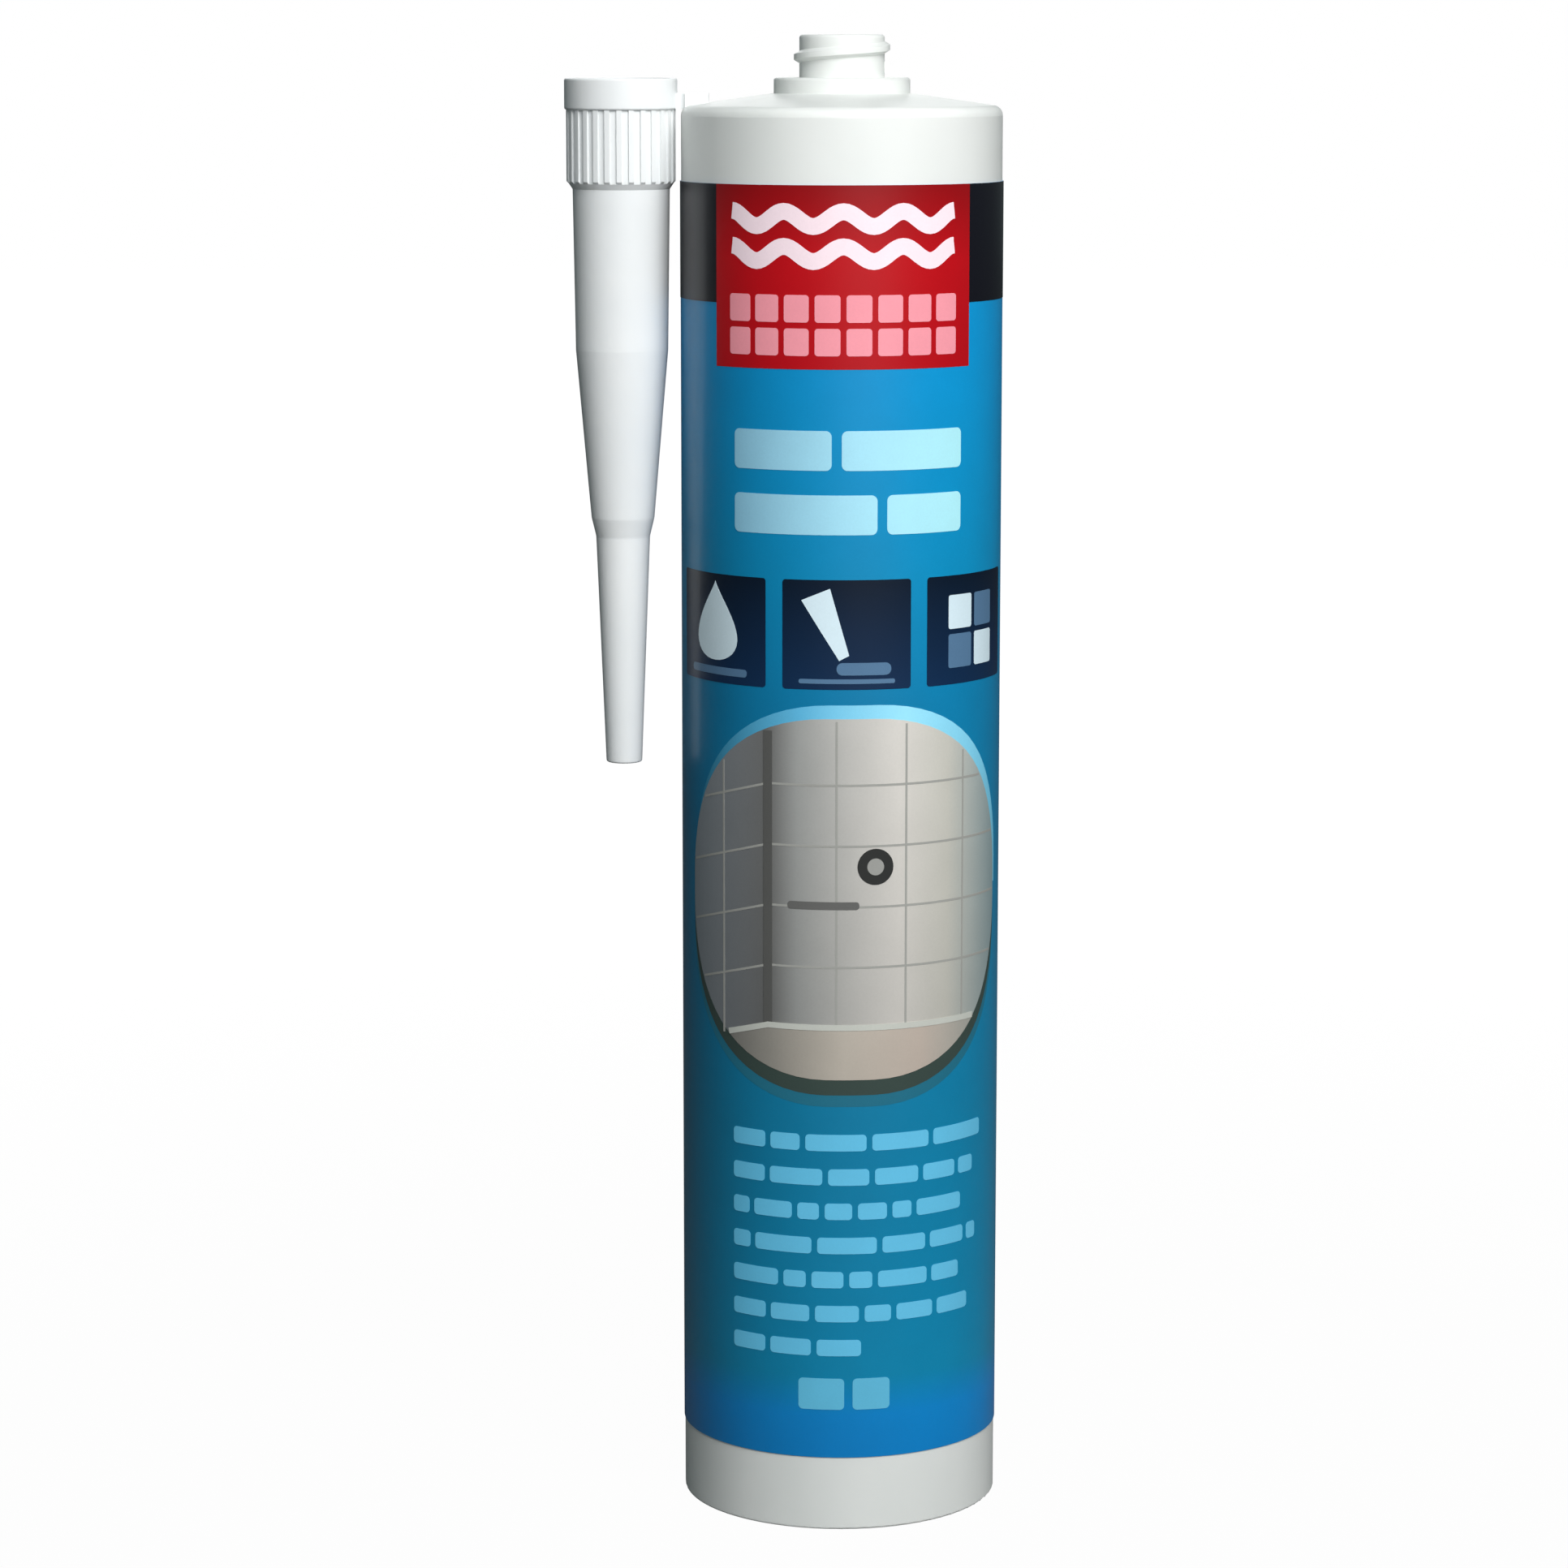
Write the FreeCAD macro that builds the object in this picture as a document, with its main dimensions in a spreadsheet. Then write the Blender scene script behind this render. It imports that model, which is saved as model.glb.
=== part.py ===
"""Caulk tube: a plastic sealant cartridge with its piston, fill, printed wrap label and nozzle.

Millimetres, +Z up. The origin is on the barrel's axis, in the plane of the open base that the
tube stands on. The front of the label faces -Y, and the spare nozzle hangs tip down at -X.
"""
import FreeCAD, Part
import math
import os
import re
import Sketcher

TOUCH = 1e-3
FULL_TURN = 360.0

# Each size: name, value, what it is. Angles about the barrel are in degrees from the front,
# positive to the right as the label is read.
SIZES = [
    ("barrel_outer_radius", 24.75, "outside of the tube"),
    ("barrel_wall", 1.45, "tube wall"),
    ("barrel_height", 219.4, "base to the shoulder's outer edge"),
    ("entry_relief", 0.3, "how much wider the bore is at the open base"),
    ("entry_depth", 14.0, "depth of that wider stretch"),
    ("entry_taper", 1.0, "length of the cone between it and the bore"),
    ("rim_round", 0.35, "rounding of the rim's outer edge at the base"),
    ("shoulder_rise", 2.0, "height of the shallow cone of the shoulder"),
    ("shoulder_round", 1.6, "rounding of the shoulder's outer edge"),
    ("head_wall", 1.9, "wall of the head"),
    ("collar_radius", 10.5, "raised collar round the neck's foot"),
    ("collar_height", 2.4, "height of the collar"),
    ("collar_round", 0.5, "rounding of the collar's top edge"),
    ("neck_core_radius", 6.55, "neck without its thread"),
    ("neck_length", 6.5, "neck above the collar"),
    ("neck_wall", 1.7, "wall of the neck"),
    ("neck_cap", 1.0, "skin across the neck's tip, cut through before use"),
    ("neck_round", 0.5, "rounding of the neck's tip"),
    ("thread_pitch", 3.0, "pitch of the coarse neck thread"),
    ("thread_depth", 0.85, "height of the thread's ridge"),
    ("thread_foot", 1.9, "width of the ridge at its foot"),
    ("thread_crest", 0.8, "width of the ridge at its crest"),
    ("thread_root", 0.05, "how far the ridge's foot enters its wall"),
    ("thread_start", 1.6, "collar to the middle of the neck thread's first turn"),
    ("thread_end", 1.6, "middle of the neck thread's last turn to the neck's tip"),
    ("piston_rest_gap", 0.5, "bore's cone to the back of the piston, tube full"),
    ("piston_length", 21.0, "back to front of the piston"),
    ("piston_wall", 1.5, "skirt and front wall of the piston"),
    ("piston_relief", 0.9, "bore to the skirt between the lips"),
    ("piston_running_gap", 0.08, "bore to the sealing lips"),
    ("lip_land", 1.4, "straight part of each sealing lip"),
    ("lip_taper", 0.9, "slope from a lip down to the skirt"),
    ("piston_nose", 2.0, "bevel of the piston's front edge"),
    ("piston_ring_radius", 8.2, "stiffening ring inside the piston"),
    ("piston_rib_height", 4.0, "depth of the ring and the ribs"),
    ("piston_rib_width", 1.2, "thickness of the ring and the ribs"),
    ("fill_gap", 0.1, "sealant to the walls round it"),
    ("fill_piston_gap", 0.3, "sealant to the piston's front"),
    ("adhesive_layer", 0.05, "barrel to the label film"),
    ("film_thickness", 0.1, "label film"),
    ("bare_base", 11.7, "base to the label's lower edge"),
    ("bare_top", 11.3, "label's upper edge to the shoulder's outer edge"),
    ("ink_gap", 0.1, "film to the underside of the printed layer, kept apart in coarse meshes too"),
    ("ink_thickness", 0.1, "printed layer, thicker than real ink so that it holds as a solid"),
    ("top_band_height", 17.8, "dark band along the label's upper edge"),
    ("panel_height", 27.4, "red panel, from the label's upper edge"),
    ("panel_angle", 100.0, "angle that the red panel covers"),
    ("title_drop", 9.2, "red panel to the first title bar"),
    ("title_height", 6.0, "height of a title bar"),
    ("title_space", 3.7, "first title bar to the second"),
    ("title_start_angle", -41.0, "left end of the title bars"),
    ("title_angle", 87.0, "angle that a title bar covers"),
    ("icon_drop", 6.8, "second title bar to the icon fields"),
    ("icon_height", 16.7, "height of an icon field"),
    ("icon_angle", 46.0, "angle that an icon field covers"),
    ("icon_step_angle", 52.5, "angle from one icon field to the next"),
    ("icon_middle_angle", 1.5, "middle of the middle icon field"),
    ("picture_drop", 3.4, "icon fields to the picture field"),
    ("picture_angle", 138.0, "angle that the picture field covers at its widest"),
    ("picture_middle_angle", 1.0, "middle of the picture field"),
    ("picture_round", 19.0, "corner radius of the picture field, seen from the front"),
    ("text_start_angle", -42.0, "left end of the text bars"),
    ("text_angle", 97.0, "angle that a full text bar covers"),
    ("text_last_angle", 49.0, "angle that the last text bar covers"),
    ("text_pitch", 5.43, "one text bar to the next"),
    ("text_height", 2.6, "height of a text bar"),
    ("text_foot", 16.3, "label's lower edge to the last text bar"),
    ("text_drop", 7.3, "picture field to the first text bar"),
    ("volume_foot", 7.5, "label's lower edge to the volume bar"),
    ("volume_height", 5.0, "height of the volume bar"),
    ("volume_start_angle", -16.0, "left end of the volume bar"),
    ("volume_angle", 34.0, "angle that the volume bar covers"),
    ("nozzle_gap", 0.55, "barrel to the nozzle's flange"),
    ("nozzle_mouth_rise", 4.3, "shoulder's outer edge to the nozzle's mouth"),
    ("nozzle_flange_height", 4.8, "height of the flange round the nozzle's mouth"),
    ("nozzle_flange_ledge", 0.6, "how far the flange stands out from the grip"),
    ("nozzle_grip_length", 11.2, "flange to the end of the grip"),
    ("nozzle_grip_rib", 0.32, "how far a grip rib stands out"),
    ("nozzle_grip_rib_width", 0.8, "width of a grip rib"),
    ("nozzle_step", 0.9, "length of the bevel below the grip"),
    ("nozzle_step_depth", 0.6, "how far that bevel draws in"),
    ("nozzle_body_length", 24.7, "bevel to the start of the steep cone"),
    ("nozzle_body_draw", 0.35, "how far the body draws in over that length"),
    ("nozzle_cone_length", 26.1, "length of the steep cone"),
    ("nozzle_cone_draw", 2.25, "how far the steep cone draws in"),
    ("nozzle_bend_length", 2.9, "length of the neck between the steep cone and the spout"),
    ("nozzle_bend_draw", 0.7, "how far that neck draws in"),
    ("nozzle_bend_round", 1.5, "rounding at both ends of that neck"),
    ("nozzle_spout_length", 35.6, "that neck to the tip"),
    ("nozzle_tip_radius", 2.8, "outside of the tip"),
    ("nozzle_tip_wall", 1.3, "wall of the tip"),
    ("nozzle_wall", 1.1, "wall of the nozzle below its socket"),
    ("nozzle_edge_round", 0.35, "rounding of the mouth, the flange and the tip"),
    ("socket_gap", 0.15, "neck thread's crest to the socket's wall"),
    ("socket_wall", 0.55, "wall of the socket between its grip ribs"),
    ("socket_spare", 6.9, "how much deeper the socket is than the neck is long"),
    ("socket_taper", 1.6, "length of the socket's conical seat"),
    ("socket_thread_start", 2.2, "seat to the middle of the socket thread's first turn"),
    ("socket_thread_end", 2.2, "middle of the socket thread's last turn to the mouth"),
    ("tab_width", 5.0, "break-off tab between nozzle and shoulder"),
    ("tab_height", 2.4, "height of the tab"),
    ("tab_reach", 4.25, "how far the tab lies over the shoulder, from the tube's outside"),
    ("tab_root", 0.6, "how far the tab enters the flange's wall"),
    ("tab_notch", 0.95, "radius of the notches at the tab's break line"),
]

PISTON_RIBS = 8
GRIP_RIBS = 28
ICON_FIELDS = 3
TITLE_BARS = 2
TEXT_BARS = 7
SHORT_TEXT_BARS = 1

# Sizes that follow from the ones above, as formulas of their names.
BORE_RADIUS = "(barrel_outer_radius - barrel_wall)"
HEAD_INSIDE = "(barrel_height - head_wall)"
COLLAR_FOOT = "(barrel_height + shoulder_rise)"
COLLAR_TOP = f"({COLLAR_FOOT} + collar_height)"
NECK_TOP = f"({COLLAR_TOP} + neck_length)"
NECK_BORE_RADIUS = "(neck_core_radius - neck_wall)"
THREAD_RADIUS = "(neck_core_radius + thread_depth)"
THREAD_LIFT = "(neck_length - thread_start - thread_end)"
PISTON_BACK = "(entry_depth + entry_taper + piston_rest_gap)"
PISTON_FRONT = f"({PISTON_BACK} + piston_length)"
FILM_INNER_RADIUS = "(barrel_outer_radius + adhesive_layer)"
FILM_OUTER_RADIUS = f"({FILM_INNER_RADIUS} + film_thickness)"
INK_INNER_RADIUS = f"({FILM_OUTER_RADIUS} + ink_gap)"
INK_OUTER_RADIUS = f"({INK_INNER_RADIUS} + ink_thickness)"
LABEL_TOP = "(barrel_height - bare_top)"
PANEL_FOOT = f"({LABEL_TOP} - panel_height)"
ICON_FOOT = (f"({PANEL_FOOT} - title_drop - {TITLE_BARS} * title_height - title_space"
             " - icon_drop - icon_height)")
NOZZLE_MOUTH = "(barrel_height + nozzle_mouth_rise)"
SOCKET_RADIUS = f"({THREAD_RADIUS} + socket_gap)"
SOCKET_DEPTH = "(neck_length + socket_spare)"
SOCKET_THREAD_LIFT = f"({SOCKET_DEPTH} - socket_thread_start - socket_thread_end)"
# The nozzle's outside, from its mouth to its tip: how far down, and the radius there.
GRIP_END = "(nozzle_flange_height + nozzle_grip_length)"
GRIP_RADIUS = f"({SOCKET_RADIUS} + socket_wall)"
FLANGE_RADIUS = f"({GRIP_RADIUS} + nozzle_flange_ledge)"
BODY_START = f"({GRIP_END} + nozzle_step)"
BODY_RADIUS = f"({GRIP_RADIUS} - nozzle_step_depth)"
CONE_START = f"({BODY_START} + nozzle_body_length)"
CONE_RADIUS = f"({BODY_RADIUS} - nozzle_body_draw)"
BEND_START = f"({CONE_START} + nozzle_cone_length)"
BEND_RADIUS = f"({CONE_RADIUS} - nozzle_cone_draw)"
SPOUT_START = f"({BEND_START} + nozzle_bend_length)"
SPOUT_RADIUS = f"({BEND_RADIUS} - nozzle_bend_draw)"
NOZZLE_LENGTH = f"({SPOUT_START} + nozzle_spout_length)"
NOZZLE_OFFSET = f"(barrel_outer_radius + nozzle_gap + {FLANGE_RADIUS})"
# The angle from +X to the front of the label.
FRONT = -90.0

# The ring that a sketch's corners start on, before their formulas place them.
GUESS_MIDDLE = 20.0
GUESS_RADIUS = 10.0

doc = FreeCAD.newDocument("caulk_tube")


def make_sheet():
    """The spreadsheet that holds every driving size under its own name."""
    sheet = doc.addObject("Spreadsheet::Sheet", "Sizes")
    for row, (name, value, meaning) in enumerate(SIZES, start=1):
        sheet.set(f"A{row}", meaning)
        sheet.set(f"B{row}", str(value))
        sheet.setAlias(f"B{row}", name)
    doc.recompute()
    return sheet


SHEET = make_sheet()
NAMES = {name for name, value, meaning in SIZES}


def formula(text):
    """The text with each size's name pointed at its cell in the sheet."""
    return re.sub(r"[a-z_]+", lambda word: f"Sizes.{word[0]}" if word[0] in NAMES else word[0], text)


def bind(thing, prop, text):
    """Ties one property of an object to a formula of sizes."""
    thing.setExpression(prop, formula(text))


def origin_plane(body, role):
    """A body's own origin plane."""
    return next(plane for plane in body.Origin.OriginFeatures if plane.Role == role)


def outline(body, name, corners, role="XZ_Plane"):
    """A closed sketch of straight edges, each corner tied to two formulas."""
    sketch = body.newObject("Sketcher::SketchObject", name)
    sketch.AttachmentSupport = [(origin_plane(body, role), "")]
    sketch.MapMode = "FlatFace"
    count = len(corners)
    first_guess = []
    for index in range(count):
        turn = 2 * math.pi * index / count
        first_guess.append(FreeCAD.Vector(GUESS_MIDDLE + GUESS_RADIUS * math.cos(turn),
                                          GUESS_MIDDLE + GUESS_RADIUS * math.sin(turn), 0))
    for index in range(count):
        sketch.addGeometry(Part.LineSegment(first_guess[index], first_guess[(index + 1) % count]))
    for index in range(count):
        sketch.addConstraint(Sketcher.Constraint("Coincident", index, 2, (index + 1) % count, 1))
    for index, (across, up) in enumerate(corners):
        guess = first_guess[index]
        for kind, value, text in (("DistanceX", guess.x, across), ("DistanceY", guess.y, up)):
            number = sketch.addConstraint(Sketcher.Constraint(kind, -1, 1, index, 1, value))
            bind(sketch, f"Constraints[{number}]", text)
    return sketch


def turned(body, name, corners):
    """A solid turned about the body's Z axis from its (radius, height) outline, which it returns."""
    sketch = outline(body, f"{name}_outline", corners)
    turn = body.newObject("PartDesign::Revolution", name)
    turn.Profile = sketch
    turn.ReferenceAxis = (sketch, ["V_Axis"])
    turn.Angle = FULL_TURN
    doc.recompute()
    return sketch


def rib_round(body, name, corners, width, count):
    """A plate from its (radius, height) outline, repeated round the body's Z axis."""
    sketch = outline(body, f"{name}_outline", corners)
    plate = body.newObject("PartDesign::Pad", name)
    plate.Profile = sketch
    plate.SideType = "Symmetric"
    bind(plate, "Length", width)
    pattern = body.newObject("PartDesign::PolarPattern", f"{name}_ring")
    pattern.Originals = [plate]
    pattern.Axis = (sketch, ["V_Axis"])
    pattern.Angle = FULL_TURN
    pattern.Occurrences = count
    body.Tip = pattern
    doc.recompute()


def edges_at(body, sketch, corners):
    """The names of the circular edges that some of an outline's corners drew round the axis."""
    found = []
    for corner in corners:
        place = sketch.Geometry[corner].StartPoint
        for number, edge in enumerate(body.Tip.Shape.Edges, start=1):
            if (isinstance(edge.Curve, Part.Circle) and abs(edge.Curve.Radius - place.x) < TOUCH
                    and abs(edge.Curve.Center.z - place.y) < TOUCH):
                found.append(f"Edge{number}")
    return found


def rounded(body, name, radius, edges):
    """Rounds the named edges of the body as it stands."""
    below = body.Tip
    fillet = body.newObject("PartDesign::Fillet", name)
    fillet.Base = (below, edges)
    bind(fillet, "Radius", radius)
    doc.recompute()


def ridge(body, name, foot_radius, crest_radius, start, lift):
    """A right-hand thread's ridge, foot and crest at two radii, wound up from its start."""
    corners = [
        (foot_radius, f"{start} - thread_foot / 2"),
        (crest_radius, f"{start} - thread_crest / 2"),
        (crest_radius, f"{start} + thread_crest / 2"),
        (foot_radius, f"{start} + thread_foot / 2"),
    ]
    sketch = outline(body, f"{name}_outline", corners)
    helix = body.newObject("PartDesign::AdditiveHelix", name)
    helix.Profile = sketch
    helix.ReferenceAxis = (sketch, ["V_Axis"])
    helix.Mode = "pitch-height-angle"
    bind(helix, "Pitch", "thread_pitch")
    bind(helix, "Height", lift)
    doc.recompute()


def make_barrel():
    """The tube, its shoulder, collar and closed neck: one moulding, open at the base."""
    body = doc.addObject("PartDesign::Body", "cartridge_barrel")
    entry = f"{BORE_RADIUS} + entry_relief"
    collar_inside = "collar_radius - barrel_wall"
    rim, shoulder, collar, neck = 1, 2, 4, 6
    form = turned(body, "barrel_wall_and_head", [
        (entry, "0"),
        ("barrel_outer_radius", "0"),
        ("barrel_outer_radius", "barrel_height"),
        ("collar_radius", COLLAR_FOOT),
        ("collar_radius", COLLAR_TOP),
        ("neck_core_radius", COLLAR_TOP),
        ("neck_core_radius", NECK_TOP),
        ("0", NECK_TOP),
        ("0", f"{NECK_TOP} - neck_cap"),
        (NECK_BORE_RADIUS, f"{NECK_TOP} - neck_cap"),
        (NECK_BORE_RADIUS, f"{COLLAR_TOP} - head_wall"),
        (collar_inside, f"{COLLAR_TOP} - head_wall"),
        (collar_inside, f"{COLLAR_FOOT} - head_wall"),
        (BORE_RADIUS, HEAD_INSIDE),
        (BORE_RADIUS, "entry_depth + entry_taper"),
        (entry, "entry_depth"),
    ])
    rounded(body, "shoulder_edge", "shoulder_round", edges_at(body, form, [shoulder]))
    rounded(body, "rim_edge", "rim_round", edges_at(body, form, [rim]))
    rounded(body, "collar_edge", "collar_round", edges_at(body, form, [collar]))
    rounded(body, "neck_edge", "neck_round", edges_at(body, form, [neck]))
    ridge(body, "neck_thread", "neck_core_radius - thread_root", THREAD_RADIUS,
          f"{COLLAR_TOP} + thread_start", THREAD_LIFT)
    return body


def make_piston():
    """The cup-shaped plunger: skirt with two sealing lips, front wall, ring and ribs inside."""
    body = doc.addObject("PartDesign::Body", "piston")
    bind(body, "Placement.Base.z", PISTON_BACK)
    skirt = f"{BORE_RADIUS} - piston_relief"
    lip = f"{BORE_RADIUS} - piston_running_gap"
    cup = f"{BORE_RADIUS} - piston_relief - piston_wall"
    floor = "piston_length - piston_wall"
    turned(body, "skirt_and_front", [
        (cup, "0"),
        (lip, "0"),
        (lip, "lip_land"),
        (skirt, "lip_land + lip_taper"),
        (skirt, "piston_length - piston_nose - lip_land - lip_taper"),
        (lip, "piston_length - piston_nose - lip_land"),
        (lip, "piston_length - piston_nose"),
        (f"{lip} - piston_nose", "piston_length"),
        ("0", "piston_length"),
        ("0", floor),
        (cup, floor),
    ])
    rib_foot = f"{floor} - piston_rib_height"
    turned(body, "stiffening_ring", [
        ("piston_ring_radius - piston_rib_width", rib_foot),
        ("piston_ring_radius", rib_foot),
        ("piston_ring_radius", floor),
        ("piston_ring_radius - piston_rib_width", floor),
    ])
    rib_round(body, "rib", [
        ("piston_ring_radius - piston_rib_width / 2", rib_foot),
        (f"{cup} + piston_wall / 2", rib_foot),
        (f"{cup} + piston_wall / 2", floor),
        ("piston_ring_radius - piston_rib_width / 2", floor),
    ], "piston_rib_width", PISTON_RIBS)
    return body


def make_fill():
    """The sealant, from the piston's front to the neck's closed tip."""
    body = doc.addObject("PartDesign::Body", "sealant_fill")
    foot = f"{PISTON_FRONT} + fill_piston_gap"
    collar_inside = "collar_radius - barrel_wall - fill_gap"
    turned(body, "fill", [
        ("0", foot),
        (f"{BORE_RADIUS} - fill_gap", foot),
        (f"{BORE_RADIUS} - fill_gap", f"{HEAD_INSIDE} - fill_gap"),
        (collar_inside, f"{COLLAR_FOOT} - head_wall - fill_gap"),
        (collar_inside, f"{COLLAR_TOP} - head_wall - fill_gap"),
        (f"{NECK_BORE_RADIUS} - fill_gap", f"{COLLAR_TOP} - head_wall - fill_gap"),
        (f"{NECK_BORE_RADIUS} - fill_gap", f"{NECK_TOP} - neck_cap - fill_gap"),
        ("0", f"{NECK_TOP} - neck_cap - fill_gap"),
    ])
    return body


def shell(name, inner_radius, outer_radius, foot, height, start="0", span="360"):
    """A thin curved sheet round the barrel, from an angle at the front through a span."""
    sheet_of = doc.addObject("Part::Cut", name)
    outside = doc.addObject("Part::Cylinder", f"{name}_outside")
    inside = doc.addObject("Part::Cylinder", f"{name}_inside")
    bind(outside, "Radius", outer_radius)
    bind(outside, "Angle", span)
    bind(outside, "Placement.Rotation.Angle", f"{FRONT} + {start}")
    bind(inside, "Radius", inner_radius)
    for cylinder in (outside, inside):
        bind(cylinder, "Height", height)
        bind(cylinder, "Placement.Base.z", foot)
    sheet_of.Base = outside
    sheet_of.Tool = inside
    doc.recompute()
    return sheet_of


def printed(name, foot, height, start, span):
    """One field of ink on the label's film."""
    return shell(name, INK_INNER_RADIUS, INK_OUTER_RADIUS, foot, height, start, span)


def grouped(name, pieces):
    """Separate fields of one ink, kept together under one name."""
    group = doc.addObject("Part::Compound", name)
    group.Links = pieces
    doc.recompute()
    return group


def make_label():
    """The wrap label's film and the fields of colour printed on it, from the top down."""
    film = shell("wrap_label", FILM_INNER_RADIUS, FILM_OUTER_RADIUS, "bare_base",
                 f"{LABEL_TOP} - bare_base")
    band = printed("print_top_band", f"{LABEL_TOP} - top_band_height", "top_band_height",
                   "panel_angle / 2", f"{FULL_TURN} - panel_angle")
    panel = printed("print_red_panel", PANEL_FOOT, "panel_height", "-panel_angle / 2", "panel_angle")
    titles = []
    for row in range(TITLE_BARS):
        drop = f"title_drop + {row} * (title_height + title_space) + title_height"
        titles.append(printed(f"title_bar_{row + 1}", f"{PANEL_FOOT} - ({drop})", "title_height",
                              "title_start_angle", "title_angle"))
    icons = []
    for place in range(ICON_FIELDS):
        step = place - ICON_FIELDS // 2
        icons.append(printed(f"icon_field_{place + 1}", ICON_FOOT, "icon_height",
                             f"icon_middle_angle - icon_angle / 2 + {step} * icon_step_angle", "icon_angle"))
    volume = printed("print_volume_bar", "bare_base + volume_foot", "volume_height",
                     "volume_start_angle", "volume_angle")
    return [film, band, panel, grouped("print_title_bars", titles),
            grouped("print_icon_fields", icons), make_picture_field(),
            grouped("print_text_bars", make_text_bars()), volume]


def make_text_bars():
    """The bars that stand for the lines of text, the last one short."""
    bars = []
    for row in range(TEXT_BARS):
        span = "text_last_angle" if row < SHORT_TEXT_BARS else "text_angle"
        bars.append(printed(f"text_bar_{row + 1}", f"bare_base + text_foot + {row} * text_pitch",
                            "text_height", "text_start_angle", span))
    return bars


def make_picture_field():
    """The picture field: it takes the height left between the icons and the text."""
    foot = f"(bare_base + text_foot + {TEXT_BARS - 1} * text_pitch + text_height + text_drop)"
    top = f"({ICON_FOOT} - picture_drop)"
    middle = f"{INK_OUTER_RADIUS} * sin(picture_middle_angle)"
    half_width = f"{INK_OUTER_RADIUS} * sin(picture_angle / 2)"
    window = doc.addObject("PartDesign::Body", "picture_window")
    sketch = outline(window, "picture_outline", [
        (f"{middle} - {half_width}", foot),
        (f"{middle} + {half_width}", foot),
        (f"{middle} + {half_width}", top),
        (f"{middle} - {half_width}", top),
    ])
    block = window.newObject("PartDesign::Pad", "picture_block")
    block.Profile = sketch
    bind(block, "Length", f"2 * {INK_OUTER_RADIUS}")
    doc.recompute()
    corners = [f"Edge{number}" for number, edge in enumerate(block.Shape.Edges, start=1)
               if abs(edge.tangentAt(edge.FirstParameter).y) > 1 - TOUCH]
    rounded(window, "picture_corners", "picture_round", corners)
    field = doc.addObject("Part::Common", "print_picture_field")
    field.Base = printed("picture_front", foot, f"{top} - {foot}", "-90", "180")
    field.Tool = window
    doc.recompute()
    return field


def make_nozzle(barrel):
    """The screw-on nozzle, hung upside down from the shoulder by its break-off tab."""
    body = doc.addObject("PartDesign::Body", "nozzle_moulding")
    bind(body, "Placement.Base.x", f"-{NOZZLE_OFFSET}")
    bind(body, "Placement.Base.z", NOZZLE_MOUTH)
    mouth, flange, bend, spout, tip = 1, 2, 7, 8, 9
    form = turned(body, "nozzle_wall_form", [
        (SOCKET_RADIUS, "0"),
        (FLANGE_RADIUS, "0"),
        (FLANGE_RADIUS, "-nozzle_flange_height"),
        (GRIP_RADIUS, "-nozzle_flange_height"),
        (GRIP_RADIUS, f"-{GRIP_END}"),
        (BODY_RADIUS, f"-{BODY_START}"),
        (CONE_RADIUS, f"-{CONE_START}"),
        (BEND_RADIUS, f"-{BEND_START}"),
        (SPOUT_RADIUS, f"-{SPOUT_START}"),
        ("nozzle_tip_radius", f"-{NOZZLE_LENGTH}"),
        ("nozzle_tip_radius - nozzle_tip_wall", f"-{NOZZLE_LENGTH}"),
        (f"{SPOUT_RADIUS} - nozzle_wall", f"-{SPOUT_START}"),
        (f"{BEND_RADIUS} - nozzle_wall", f"-{BEND_START}"),
        (f"{CONE_RADIUS} - nozzle_wall", f"-{CONE_START}"),
        (f"{BODY_RADIUS} - nozzle_wall", f"-{SOCKET_DEPTH} - socket_taper"),
        (SOCKET_RADIUS, f"-{SOCKET_DEPTH}"),
    ])
    rounded(body, "nozzle_edges", "nozzle_edge_round", edges_at(body, form, [mouth, flange, tip]))
    rounded(body, "nozzle_bend", "nozzle_bend_round", edges_at(body, form, [bend, spout]))
    rib_round(body, "grip_rib", [
        (f"{GRIP_RADIUS} - nozzle_grip_rib", "-nozzle_flange_height"),
        (f"{GRIP_RADIUS} + nozzle_grip_rib", "-nozzle_flange_height"),
        (f"{GRIP_RADIUS} + nozzle_grip_rib", f"-{GRIP_END} + nozzle_grip_rib"),
        (f"{GRIP_RADIUS} - nozzle_grip_rib", f"-{GRIP_END} - nozzle_grip_rib"),
    ], "nozzle_grip_rib_width", GRIP_RIBS)
    ridge(body, "socket_thread", f"{SOCKET_RADIUS} + thread_root", f"{SOCKET_RADIUS} - thread_depth",
          f"-{SOCKET_DEPTH} + socket_thread_start", SOCKET_THREAD_LIFT)
    nozzle = doc.addObject("Part::MultiFuse", "nozzle")
    nozzle.Shapes = [body, make_tab(barrel)]
    nozzle.Refine = False
    doc.recompute()
    return nozzle


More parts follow.
